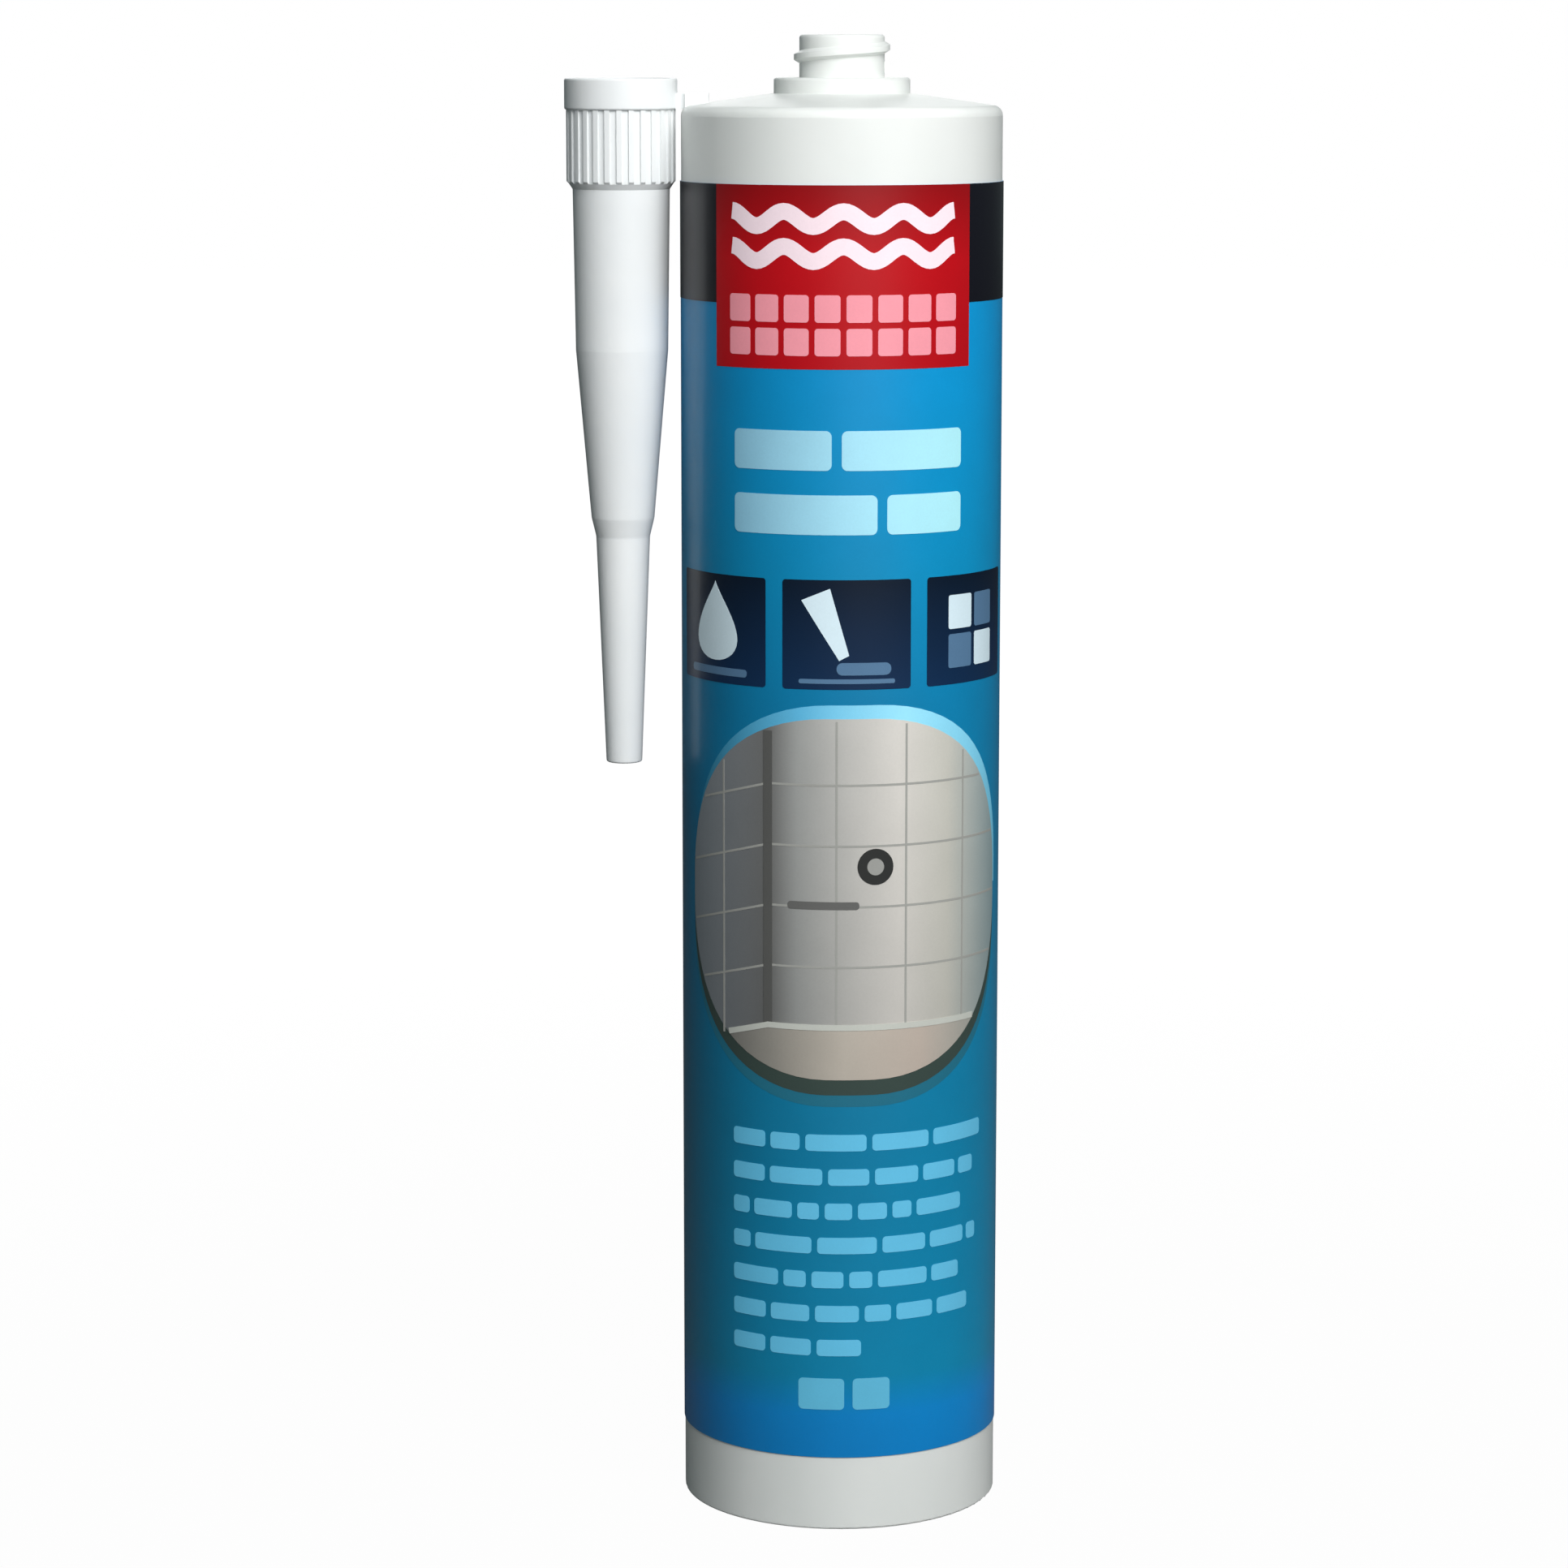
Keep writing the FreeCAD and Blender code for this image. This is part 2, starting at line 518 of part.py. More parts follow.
def make_tab(barrel):
    """The tab that holds the nozzle on the shoulder until it is snapped off at its notches."""
    outer_end = "(barrel_outer_radius + nozzle_gap + tab_root)"
    block = doc.addObject("Part::Box", "tab_block")
    bind(block, "Length", "tab_reach + nozzle_gap + tab_root")
    bind(block, "Width", "tab_width")
    bind(block, "Height", "tab_height")
    bind(block, "Placement.Base.x", f"-{outer_end}")
    bind(block, "Placement.Base.y", "-tab_width / 2")
    bind(block, "Placement.Base.z", f"{COLLAR_FOOT} - tab_height")
    break_line = "(barrel_outer_radius + nozzle_gap / 2)"
    cutters = [barrel]
    for side in (-1, 1):
        notch = doc.addObject("Part::Cylinder", "tab_notch")
        bind(notch, "Radius", "tab_notch")
        bind(notch, "Height", "2 * tab_height")
        bind(notch, "Placement.Base.x", f"-{break_line}")
        bind(notch, "Placement.Base.y", f"{side} * tab_width / 2")
        bind(notch, "Placement.Base.z", f"{COLLAR_FOOT} - 3 * tab_height / 2")
        cutters.append(notch)
    tool = doc.addObject("Part::Compound", "tab_cutters")
    tool.Links = cutters
    tab = doc.addObject("Part::Cut", "break_off_tab")
    tab.Base = block
    tab.Tool = tool
    doc.recompute()
    return tab


def main():
    """Builds every piece, checks it and writes it to its own file."""
    barrel = make_barrel()
    pieces = [barrel, make_piston(), make_fill(), make_nozzle(barrel)] + make_label()
    doc.recompute()
    failed = [thing.Name for thing in doc.Objects if {"Invalid", "Error"} & set(thing.State)]
    if failed:
        raise RuntimeError(f"these objects failed: {failed}")
    for piece in pieces:
        if piece.Shape.isNull() or not piece.Shape.isValid() or not piece.Shape.Solids:
            raise RuntimeError(f"{piece.Label} has no valid solid")
    os.makedirs("parts", exist_ok=True)
    for piece in pieces:
        piece.Shape.exportStep(f"parts/{piece.Label}.step")
        box = piece.Shape.BoundBox
        print(f"{piece.Label}: {len(piece.Shape.Solids)} solid, {piece.Shape.Volume:.1f} mm3, "
              f"z {box.ZMin:.2f} to {box.ZMax:.2f}, x {box.XMin:.2f} to {box.XMax:.2f}")


main()
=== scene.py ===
"""Caulk tube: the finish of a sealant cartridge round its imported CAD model.

Metres, in the frame of the CAD: +Z up, the tube's axis on Z, its open base at Z = 0 and the front
of its label towards -Y. Sizes in the classes are millimetres where their names end in _mm, and
degrees from the label's front, positive to the right, where they end in _deg.
"""
import logging
import math
import random
from dataclasses import dataclass, field
from enum import Enum
from typing import Any, Iterable

import bmesh
import bpy
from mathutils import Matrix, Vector


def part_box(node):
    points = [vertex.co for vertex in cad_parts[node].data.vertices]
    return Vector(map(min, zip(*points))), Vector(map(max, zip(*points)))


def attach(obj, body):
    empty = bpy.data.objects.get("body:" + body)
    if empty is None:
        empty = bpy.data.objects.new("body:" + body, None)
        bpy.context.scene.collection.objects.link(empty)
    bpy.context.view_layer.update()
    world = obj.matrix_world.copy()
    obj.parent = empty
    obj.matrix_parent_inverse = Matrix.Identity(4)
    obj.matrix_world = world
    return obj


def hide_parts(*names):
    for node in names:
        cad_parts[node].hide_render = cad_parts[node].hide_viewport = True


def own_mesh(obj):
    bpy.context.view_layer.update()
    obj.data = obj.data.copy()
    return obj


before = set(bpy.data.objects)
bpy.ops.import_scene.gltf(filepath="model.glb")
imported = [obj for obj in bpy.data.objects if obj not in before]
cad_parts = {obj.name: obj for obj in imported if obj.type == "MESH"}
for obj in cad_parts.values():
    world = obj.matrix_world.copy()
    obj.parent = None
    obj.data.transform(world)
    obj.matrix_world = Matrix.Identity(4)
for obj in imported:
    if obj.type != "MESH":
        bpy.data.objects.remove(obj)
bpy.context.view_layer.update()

LOG = logging.getLogger("caulk_tube")
MM = 0.001
CARTRIDGE = "cartridge"
# The label film's thickness, as in the CAD.
FILM_MM = 0.1
# How far red, green and blue light spread under a white plastic or paste: a little warmer inside.
WHITE_SPREAD = (1.0, 0.95, 0.9)

Point = tuple[float, float]
Outline = list[Point]
Cut = tuple[Point, Point]


def linear(colour: str) -> tuple[float, float, float, float]:
    """Turns an sRGB hex colour into linear RGBA.

    Args:
        colour: six hex digits after a hash sign.

    Returns:
        The linear red, green, blue and an alpha of 1.
    """
    channels = [int(colour[at:at + 2], 16) / 255 for at in (1, 3, 5)]
    turned = [c / 12.92 if c <= 0.04045 else ((c + 0.055) / 1.055) ** 2.4 for c in channels]
    return (turned[0], turned[1], turned[2], 1.0)


def add_node(owner: Any, kind: str, inputs: dict | None = None, **settings: Any) -> Any:
    """Adds one shader node with its settings and links.

    Args:
        owner: the material or world that holds the node tree.
        kind: Blender's name of the node's type.
        inputs: socket name or number to a value, or to the output socket to link.
        settings: the node's own properties.

    Returns:
        The new node.
    """
    tree = owner.node_tree
    node = tree.nodes.new(kind)
    for name, value in settings.items():
        setattr(node, name, value)
    for name, value in (inputs or {}).items():
        if isinstance(value, bpy.types.NodeSocket):
            tree.links.new(value, node.inputs[name])
        else:
            node.inputs[name].default_value = value
    return node


def set_ramp(ramp_node: Any, stops: Iterable[tuple[float, str]]) -> None:
    """Gives a colour ramp its stops.

    Args:
        ramp_node: the ColorRamp node.
        stops: position from 0 to 1 and sRGB hex, in rising order.
    """
    elements = ramp_node.color_ramp.elements
    while len(elements) > 1:
        elements.remove(elements[-1])
    (position, colour), *rest = stops
    elements[0].position = position
    elements[0].color = linear(colour)
    for position, colour in rest:
        elements.new(position).color = linear(colour)


def empty_material(name: str) -> bpy.types.Material:
    """A new material with nothing in its node tree."""
    material = bpy.data.materials.new(name)
    material.use_nodes = True
    material.node_tree.nodes.clear()
    return material


def clothe(piece: bpy.types.Object, material: bpy.types.Material) -> None:
    """Gives an object one material."""
    piece.data.materials.clear()
    piece.data.materials.append(material)


@dataclass(frozen=True)
class MouldedPolyethylene:
    """White polyethylene as it leaves the mould: waxy, satin, a little see-through where thin."""

    name: str
    colour: str = "#e9ebe8"
    shade: str = "#e1e4e1"
    cloud_mm: float = 24.0
    cloud_edges: Point = (0.35, 0.65)
    stretch: float = 0.35
    roughness: float = 0.4
    roughness_spread: Point = (-0.04, 0.05)
    index: float = 1.5
    peel_mm: float = 2.2
    peel_depth_mm: float = 0.012
    glow: float = 0.12
    glow_reach_mm: float = 1.6

    def material(self) -> bpy.types.Material:
        """Builds the finish.

        Returns:
            The material. Slow clouds keep the white from looking like paper, a fine peel breaks
            up the gloss as on a blown wall, and a short glow under the skin softens its edges.
        """
        material = empty_material(self.name)
        place = add_node(material, "ShaderNodeTexCoord").outputs["Object"]
        drawn = add_node(material, "ShaderNodeMapping", {"Vector": place, "Scale": (1, 1, self.stretch)})
        clouds = add_node(material, "ShaderNodeTexNoise", {
            "Vector": drawn.outputs[0], "Scale": 1 / (self.cloud_mm * MM), "Detail": 3.0})
        tone = add_node(material, "ShaderNodeValToRGB", {"Fac": clouds.outputs["Fac"]})
        set_ramp(tone, zip(self.cloud_edges, (self.shade, self.colour)))
        peel = add_node(material, "ShaderNodeTexNoise", {
            "Vector": place, "Scale": 1 / (self.peel_mm * MM), "Detail": 2.0})
        bump = add_node(material, "ShaderNodeBump", {
            "Height": peel.outputs["Fac"], "Strength": 1.0, "Distance": self.peel_depth_mm * MM})
        sheen = add_node(material, "ShaderNodeMapRange", {
            "Value": peel.outputs["Fac"], "To Min": self.roughness + self.roughness_spread[0],
            "To Max": self.roughness + self.roughness_spread[1]})
        surface = add_node(material, "ShaderNodeBsdfPrincipled", {
            "Base Color": tone.outputs["Color"], "Roughness": sheen.outputs[0],
            "IOR": self.index, "Subsurface Weight": self.glow, "Subsurface Radius": WHITE_SPREAD,
            "Subsurface Scale": self.glow_reach_mm * MM, "Normal": bump.outputs[0]})
        add_node(material, "ShaderNodeOutputMaterial", {"Surface": surface.outputs[0]})
        return material


@dataclass(frozen=True)
class PrintedFilm:
    """Polypropylene film, printed and varnished: glossy, with the ink a little uneven."""

    name: str
    stops: tuple[tuple[float, str], ...]
    low_mm: float = 0.0
    high_mm: float = 1.0
    across: bool = False
    roughness: float = 0.4
    index: float = 1.34
    varnish: float = 0.22
    varnish_roughness: float = 0.16
    mottle_mm: float = 6.0
    mottle: float = 0.05
    grain_mm: float = 0.35
    grain: float = 0.04
    wave_mm: float = 18.0
    wave_depth_mm: float = 0.02
    cross_gains: Point = (1.0, 1.0)
    cross_mm: Point = (-25.0, 25.0)

    def ink(self, material: bpy.types.Material, place: Any) -> Any:
        """The ink's tone: its stops up the label or across it, its change the other way, its
        mottle and its fine grain.

        Args:
            material: the material to add to.
            place: the socket with the place on the object.

        Returns:
            The colour's socket.
        """
        axes = add_node(material, "ShaderNodeSeparateXYZ", {"Vector": place})
        share = add_node(material, "ShaderNodeMapRange", {
            "Value": axes.outputs["X" if self.across else "Z"],
            "From Min": self.low_mm * MM, "From Max": self.high_mm * MM})
        tone = add_node(material, "ShaderNodeValToRGB", {"Fac": share.outputs[0]})
        set_ramp(tone, self.stops)
        gain = add_node(material, "ShaderNodeMapRange", {
            "Value": axes.outputs["Z" if self.across else "X"],
            "From Min": self.cross_mm[0] * MM, "From Max": self.cross_mm[1] * MM,
            "To Min": self.cross_gains[0], "To Max": self.cross_gains[1]})
        lit = add_node(material, "ShaderNodeHueSaturation", {
            "Color": tone.outputs["Color"], "Value": gain.outputs[0]})
        colour = lit.outputs["Color"]
        for size_mm, strength in ((self.mottle_mm, self.mottle), (self.grain_mm, self.grain)):
            speck = add_node(material, "ShaderNodeTexNoise", {
                "Vector": place, "Scale": 1 / (size_mm * MM), "Detail": 3.0})
            lift = add_node(material, "ShaderNodeMapRange", {
                "Value": speck.outputs["Fac"], "To Min": 1 - strength, "To Max": 1 + strength})
            tinted = add_node(material, "ShaderNodeHueSaturation", {
                "Color": colour, "Value": lift.outputs[0]})
            colour = tinted.outputs["Color"]
        return colour

    def material(self) -> bpy.types.Material:
        """Builds the finish.

        Returns:
            The material. The varnish gives the sharp gloss over the softer sheen of the ink, and
            a very shallow wave bends its reflections as on a film that is wrapped round a tube.
        """
        material = empty_material(self.name)
        place = add_node(material, "ShaderNodeTexCoord").outputs["Object"]
        wave = add_node(material, "ShaderNodeTexNoise", {
            "Vector": place, "Scale": 1 / (self.wave_mm * MM), "Detail": 1.0})
        bump = add_node(material, "ShaderNodeBump", {
            "Height": wave.outputs["Fac"], "Strength": 1.0, "Distance": self.wave_depth_mm * MM})
        surface = add_node(material, "ShaderNodeBsdfPrincipled", {
            "Base Color": self.ink(material, place), "Roughness": self.roughness,
            "IOR": self.index, "Coat Weight": self.varnish,
            "Coat Roughness": self.varnish_roughness, "Normal": bump.outputs[0],
            "Coat Normal": bump.outputs[0]})
        add_node(material, "ShaderNodeOutputMaterial", {"Surface": surface.outputs[0]})
        return material


def flat_ink(name: str, colour: str) -> PrintedFilm:
    """An ink of one colour on the varnished film."""
    return PrintedFilm(name, ((0.0, colour), (1.0, colour)))


@dataclass(frozen=True)
class SealantPaste:
    """White silicone paste as it lies in the tube: soft and slightly wet, with shallow swirls."""

    name: str = "silicone_paste_filled"
    colour: str = "#e9ebe8"
    roughness: float = 0.28
    index: float = 1.41
    glow: float = 0.3
    glow_reach_mm: float = 2.5
    swirl_mm: float = 9.0
    swirl_depth_mm: float = 0.3
    swirl_strength: float = 0.6
    swirl_distortion: float = 1.5

    def material(self) -> bpy.types.Material:
        """Builds the finish.

        Returns:
            The material. The swirls are what the filling nozzle leaves in a thick paste.
        """
        material = empty_material(self.name)
        place = add_node(material, "ShaderNodeTexCoord").outputs["Object"]
        swirl = add_node(material, "ShaderNodeTexNoise", {
            "Vector": place, "Scale": 1 / (self.swirl_mm * MM), "Detail": 2.0,
            "Distortion": self.swirl_distortion})
        bump = add_node(material, "ShaderNodeBump", {
            "Height": swirl.outputs["Fac"], "Strength": self.swirl_strength,
            "Distance": self.swirl_depth_mm * MM})
        surface = add_node(material, "ShaderNodeBsdfPrincipled", {
            "Base Color": linear(self.colour), "Roughness": self.roughness, "IOR": self.index,
            "Subsurface Weight": self.glow, "Subsurface Radius": WHITE_SPREAD,
            "Subsurface Scale": self.glow_reach_mm * MM, "Normal": bump.outputs[0]})
        add_node(material, "ShaderNodeOutputMaterial", {"Surface": surface.outputs[0]})
        return material


def rounded_box(low: Point, high: Point, corner: float, steps: int = 6) -> Outline:
    """A rectangle with rounded corners.

    Args:
        low: the lower left corner.
        high: the upper right corner.
        corner: the corners' radius.
        steps: straight steps in each corner.

    Returns:
        The outline, anticlockwise.
    """
    corner = min(corner, (high[0] - low[0]) / 2, (high[1] - low[1]) / 2)
    centres = [(high[0] - corner, high[1] - corner, 0), (low[0] + corner, high[1] - corner, 90),
               (low[0] + corner, low[1] + corner, 180), (high[0] - corner, low[1] + corner, 270)]
    outline = []
    for across, up, start in centres:
        for step in range(steps + 1):
            turn = math.radians(start + 90 * step / steps)
            outline.append((across + corner * math.cos(turn), up + corner * math.sin(turn)))
    return outline


def sharp_box(low: Point, high: Point) -> Outline:
    """A plain rectangle."""
    return [low, (high[0], low[1]), high, (low[0], high[1])]


def disc(centre: Point, radius: float, steps: int = 40) -> Outline:
    """A circle's outline."""
    turns = [2 * math.pi * step / steps for step in range(steps)]
    return [(centre[0] + radius * math.cos(t), centre[1] + radius * math.sin(t)) for t in turns]


def stroke(path: Outline, width: float) -> list[Outline]:
    """A line of one width along an open path.

    Args:
        path: the points along the middle of the line.
        width: the line's width.

    Returns:
        The outlines of its short straight steps.
    """
    left, right = [], []
    for at, point in enumerate(path):
        before = path[max(at - 1, 0)]
        after = path[min(at + 1, len(path) - 1)]
        run, rise = after[0] - before[0], after[1] - before[1]
        length = math.hypot(run, rise)
        aside = (-rise / length * width / 2, run / length * width / 2)
        left.append((point[0] + aside[0], point[1] + aside[1]))
        right.append((point[0] - aside[0], point[1] - aside[1]))
    return [[right[at], right[at + 1], left[at + 1], left[at]] for at in range(len(path) - 1)]


def drop(foot: Point, width: float, height: float, steps: int = 40) -> Outline:
    """A water drop: a round foot that draws in to a point.

    Args:
        foot: the lowest point.
        width: the drop's greatest width, nearly.
        height: from the foot to the point.
        steps: points in the outline.

    Returns:
        The outline.
    """
    # The belly brings the greatest width to what is asked, and the draw pinches the point.
    belly = 0.62
    draw = 1.5
    outline = []
    for step in range(steps):
        turn = 2 * math.pi * step / steps
        across = width * belly * math.sin(turn) * math.sin(turn / 2) ** draw
        outline.append((foot[0] + across, foot[1] + height * (1 + math.cos(turn)) / 2))
    return outline


@dataclass(frozen=True)
class Wrap:
    """How a flat drawing in millimetres lies round the barrel.

    Across a drawing is the arc length from the label's front, positive to the right.
    """

    radius_mm: float
    strip_mm: float = 0.9
    weld_mm: float = 0.003

    def arc(self, degrees: float) -> float:
        """The arc length that an angle from the front covers."""
        return math.radians(degrees) * self.radius_mm

    def bent(self, across: float, up: float, radius_mm: float) -> Vector:
        """The place in the frame of a point of the drawing, at some radius."""
        turn = across / self.radius_mm
        return Vector((math.sin(turn) * radius_mm, -math.cos(turn) * radius_mm, up)) * MM

    def flat(self, outlines: Iterable[Outline], cuts: Iterable[Cut]) -> bmesh.types.BMesh:
        """Fills the outlines, cuts them and divides them into strips narrow enough to bend.

        Args:
            outlines: the shapes, each a closed outline.
            cuts: a point and a direction each; what lies on the direction's side is cut away.

        Returns:
            The flat mesh, across on X and up on Z.
        """
        flat = bmesh.new()
        for outline in outlines:
            flat.faces.new([flat.verts.new((across, 0, up)) for across, up in outline])
        bmesh.ops.remove_doubles(flat, verts=flat.verts[:], dist=self.weld_mm)
        bmesh.ops.triangulate(flat, faces=[face for face in flat.faces if len(face.verts) > 4])
        for point, direction in cuts:
            bmesh.ops.bisect_plane(
                flat, geom=flat.verts[:] + flat.edges[:] + flat.faces[:], clear_outer=True,
                plane_co=(point[0], 0, point[1]), plane_no=(direction[0], 0, direction[1]))
        lowest = min(vert.co.x for vert in flat.verts)
        highest = max(vert.co.x for vert in flat.verts)
        first = math.floor(lowest / self.strip_mm) + 1
        last = math.ceil(highest / self.strip_mm) - 1
        for strip in range(first, last + 1):
            bmesh.ops.bisect_plane(
                flat, geom=flat.verts[:] + flat.edges[:] + flat.faces[:],
                plane_co=(strip * self.strip_mm, 0, 0), plane_no=(1, 0, 0))
        bmesh.ops.dissolve_degenerate(flat, edges=flat.edges[:], dist=self.weld_mm)
        return flat

    def lay(self, name: str, outlines: Iterable[Outline], low_mm: float, high_mm: float,
            cuts: Iterable[Cut] = ()) -> bpy.types.Object:
        """Lays flat shapes round the barrel as one thin closed skin.

        Args:
            name: the piece's name.
            outlines: the shapes, each a closed outline.
            low_mm: the radius of the skin's underside.
            high_mm: the radius of its outside.
            cuts: cuts through the shapes, as for the flat mesh.

        Returns:
            The new object, its outside with a true cylinder's normals.
        """
        skin = self.flat(outlines, cuts)
        raised = bmesh.ops.extrude_face_region(skin, geom=skin.faces[:])["geom"]
        outside = {item for item in raised if isinstance(item, bmesh.types.BMVert)}
        for vert in skin.verts:
            vert.co = self.bent(vert.co.x, vert.co.z, high_mm if vert in outside else low_mm)
        bmesh.ops.recalc_face_normals(skin, faces=skin.faces[:])
        mesh = bpy.data.meshes.new(name)
        skin.to_mesh(mesh)
        skin.free()
        self.shade(mesh, (low_mm + high_mm) / 2 * MM)
        piece = bpy.data.objects.new(name, mesh)
        bpy.context.scene.collection.objects.link(piece)
        return piece

    @staticmethod
    def shade(mesh: bpy.types.Mesh, middle: float) -> None:
        """Shades a skin's outside as a true cylinder and leaves its edges sharp.

        Args:
            mesh: the skin's mesh.
            middle: a radius between the skin's underside and its outside, in metres.
        """
        mesh.shade_smooth()
        normals = [Vector(polygon.normal) for polygon in mesh.polygons for _ in polygon.loop_indices]
        for polygon in mesh.polygons:
            spots = [mesh.vertices[index].co for index in polygon.vertices]
            if all(math.hypot(spot.x, spot.y) > middle for spot in spots):
                for loop_index, spot in zip(polygon.loop_indices, spots):
                    normals[loop_index] = Vector((spot.x, spot.y, 0)).normalized()
        mesh.normals_split_custom_set(normals)


class Layer(Enum):
    """How far the outside of a printed shape stands off the film, in millimetres."""

    UNDER = 0.02
    SHADE = 0.035
    FIELD = 0.05
    MARK = 0.08
    OVER = 0.11
    TOP = 0.14


@dataclass
class Press:
    """Prints shapes on the film, each ink as a skin of its own that rides the cartridge."""

    wrap: Wrap
    clear_mm: float = 0.005
    pieces: list[bpy.types.Object] = field(default_factory=list)

    def lay(self, name: str, ink: PrintedFilm, outlines: Iterable[Outline], slot: str,
            layer: Layer = Layer.FIELD, replaces: str | None = None,
            cuts: Iterable[Cut] = ()) -> None:
        """Prints the shapes of one ink.

        Args:
            name: the piece's name.
            ink: its finish.
            outlines: its shapes, in millimetres across and up.
            slot: a name for the ink, not used.
            layer: how far it stands off the film.
            replaces: the CAD node that it stands for.
            cuts: cuts through the shapes.
        """
        film = self.wrap.radius_mm
        piece = self.wrap.lay(name, outlines, film + self.clear_mm, film + layer.value, cuts)
        self.carry(piece, ink, replaces)

    def carry(self, piece: bpy.types.Object, ink: PrintedFilm, replaces: str | None) -> None:
        """Finishes a piece of the label and puts it on the cartridge.

        Args:
            piece: the piece.
            ink: its finish.
            replaces: the CAD node that it stands for.
        """
        clothe(piece, ink.material())
        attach(piece, CARTRIDGE)
        if replaces:
            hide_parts(replaces)
        self.pieces.append(piece)

    def box(self, left_deg: float, right_deg: float, bottom: float, top: float,
            corner: float = 0.0) -> Outline:
        """A rectangle between two angles and two heights, its corners rounded if asked."""
        low = (self.wrap.arc(left_deg), bottom)
        high = (self.wrap.arc(right_deg), top)
        return rounded_box(low, high, corner) if corner else sharp_box(low, high)


@dataclass
class LabelFilm:
    """The wrapped film with its blue ground, lapped down the back, and the dark head band."""

    inner_mm: float
    bottom_mm: float
    top_mm: float
    lap_deg: float = 9.0
    band_height_mm: float = 17.8
    panel_half_deg: float = 50.0
    ground: tuple[tuple[float, str], ...] = (
        (0.0, "#0476b8"), (0.035, "#047abc"), (0.065, "#057ba2"), (0.27, "#06749a"),
        (0.6, "#0674a0"), (0.7, "#0580ae"), (0.8, "#0584b8"), (0.87, "#0586be"))

    def build(self, press: Press) -> None:
        """Makes the film, its lap and its head band."""
        # The deep glossy blue that carries the label, purer at its foot and greener above it; painted
        # lighter towards the right as painted light from that side.
        blue = PrintedFilm("polypropylene_film_blue_ground", self.ground,
                           low_mm=self.bottom_mm, high_mm=self.top_mm, cross_gains=(0.95, 1.28))
        sheet = press.box(-180, 180, self.bottom_mm, self.top_mm)
        film = press.wrap.lay("label_film", [sheet], self.inner_mm, press.wrap.radius_mm)
        press.carry(film, blue, "wrap_label")
        lap = press.box(180 - self.lap_deg, 180 + self.lap_deg, self.bottom_mm, self.top_mm)
        press.lay("label_lap", blue, [lap], "label_film_blue", Layer.UNDER)
        # Near black, so that the lamp's soft reflection is all that shows its roundness.
        band = press.box(self.panel_half_deg, 360 - self.panel_half_deg,
                         self.top_mm - self.band_height_mm, self.top_mm)
        press.lay("head_band", flat_ink("film_print_near_black", "#0e0e18"), [band], "ink_dark",
                  replaces="print_top_band")


@dataclass
class HeadPanel:
    """The red panel with a plain design: water above, two rows of tiles below."""

    bottom_mm: float = 180.7
    top_mm: float = 208.1
    half_deg: float = 50.0
    wave_heights_mm: tuple[float, ...] = (203.1, 197.9)
    wave_width_mm: float = 2.5
    wave_swell_mm: float = 1.1
    wave_crests: int = 4
    wave_half_deg: float = 42.0
    tile_foot_mm: float = 182.7
    tile_head_mm: float = 191.8
    tile_half_deg: float = 43.0
    tile_columns: int = 8
    tile_rows: int = 2
    tile_joint_mm: float = 0.9
    tile_corner_mm: float = 0.5

    def build(self, press: Press) -> None:
        """Prints the panel and its design."""
        # A warm signal red, deeper at its head; the design is knocked out in white and pink.
        red = PrintedFilm("film_print_red", ((0.0, "#b10614"), (0.6, "#b80613"), (1.0, "#8e040c")),
                          low_mm=self.bottom_mm, high_mm=self.top_mm)
        panel = press.box(-self.half_deg, self.half_deg, self.bottom_mm, self.top_mm)
        press.lay("head_panel", red, [panel], "ink_red", replaces="print_red_panel")
        press.lay("head_panel_water", flat_ink("film_print_pink_white", "#fbe4ec"),
                  self.water(press.wrap), "ink_red", Layer.MARK)
        press.lay("head_panel_tiles", flat_ink("film_print_pink", "#f39aa6"),
                  self.tiles(press.wrap), "ink_red", Layer.MARK)

    def water(self, wrap: Wrap, steps: int = 72) -> list[Outline]:
        """The wave lines across the upper part."""
        left, right = wrap.arc(-self.wave_half_deg), wrap.arc(self.wave_half_deg)
        lines = []
        for height in self.wave_heights_mm:
            path = []
            for step in range(steps + 1):
                share = step / steps
                swell = self.wave_swell_mm * math.cos(share * self.wave_crests * 2 * math.pi)
                path.append((left + (right - left) * share, height + swell))
            lines += stroke(path, self.wave_width_mm)
        return lines

    def tiles(self, wrap: Wrap) -> list[Outline]:
        """The rows of tiles across the lower part."""
        left, right = wrap.arc(-self.tile_half_deg), wrap.arc(self.tile_half_deg)
        joint = self.tile_joint_mm
        wide = (right - left + joint) / self.tile_columns
        tall = (self.tile_head_mm - self.tile_foot_mm + joint) / self.tile_rows
        tiles = []
        for row in range(self.tile_rows):
            for column in range(self.tile_columns):
                low = (left + column * wide, self.tile_foot_mm + row * tall)
                high = (low[0] + wide - joint, low[1] + tall - joint)
                tiles.append(rounded_box(low, high, self.tile_corner_mm))
        return tiles


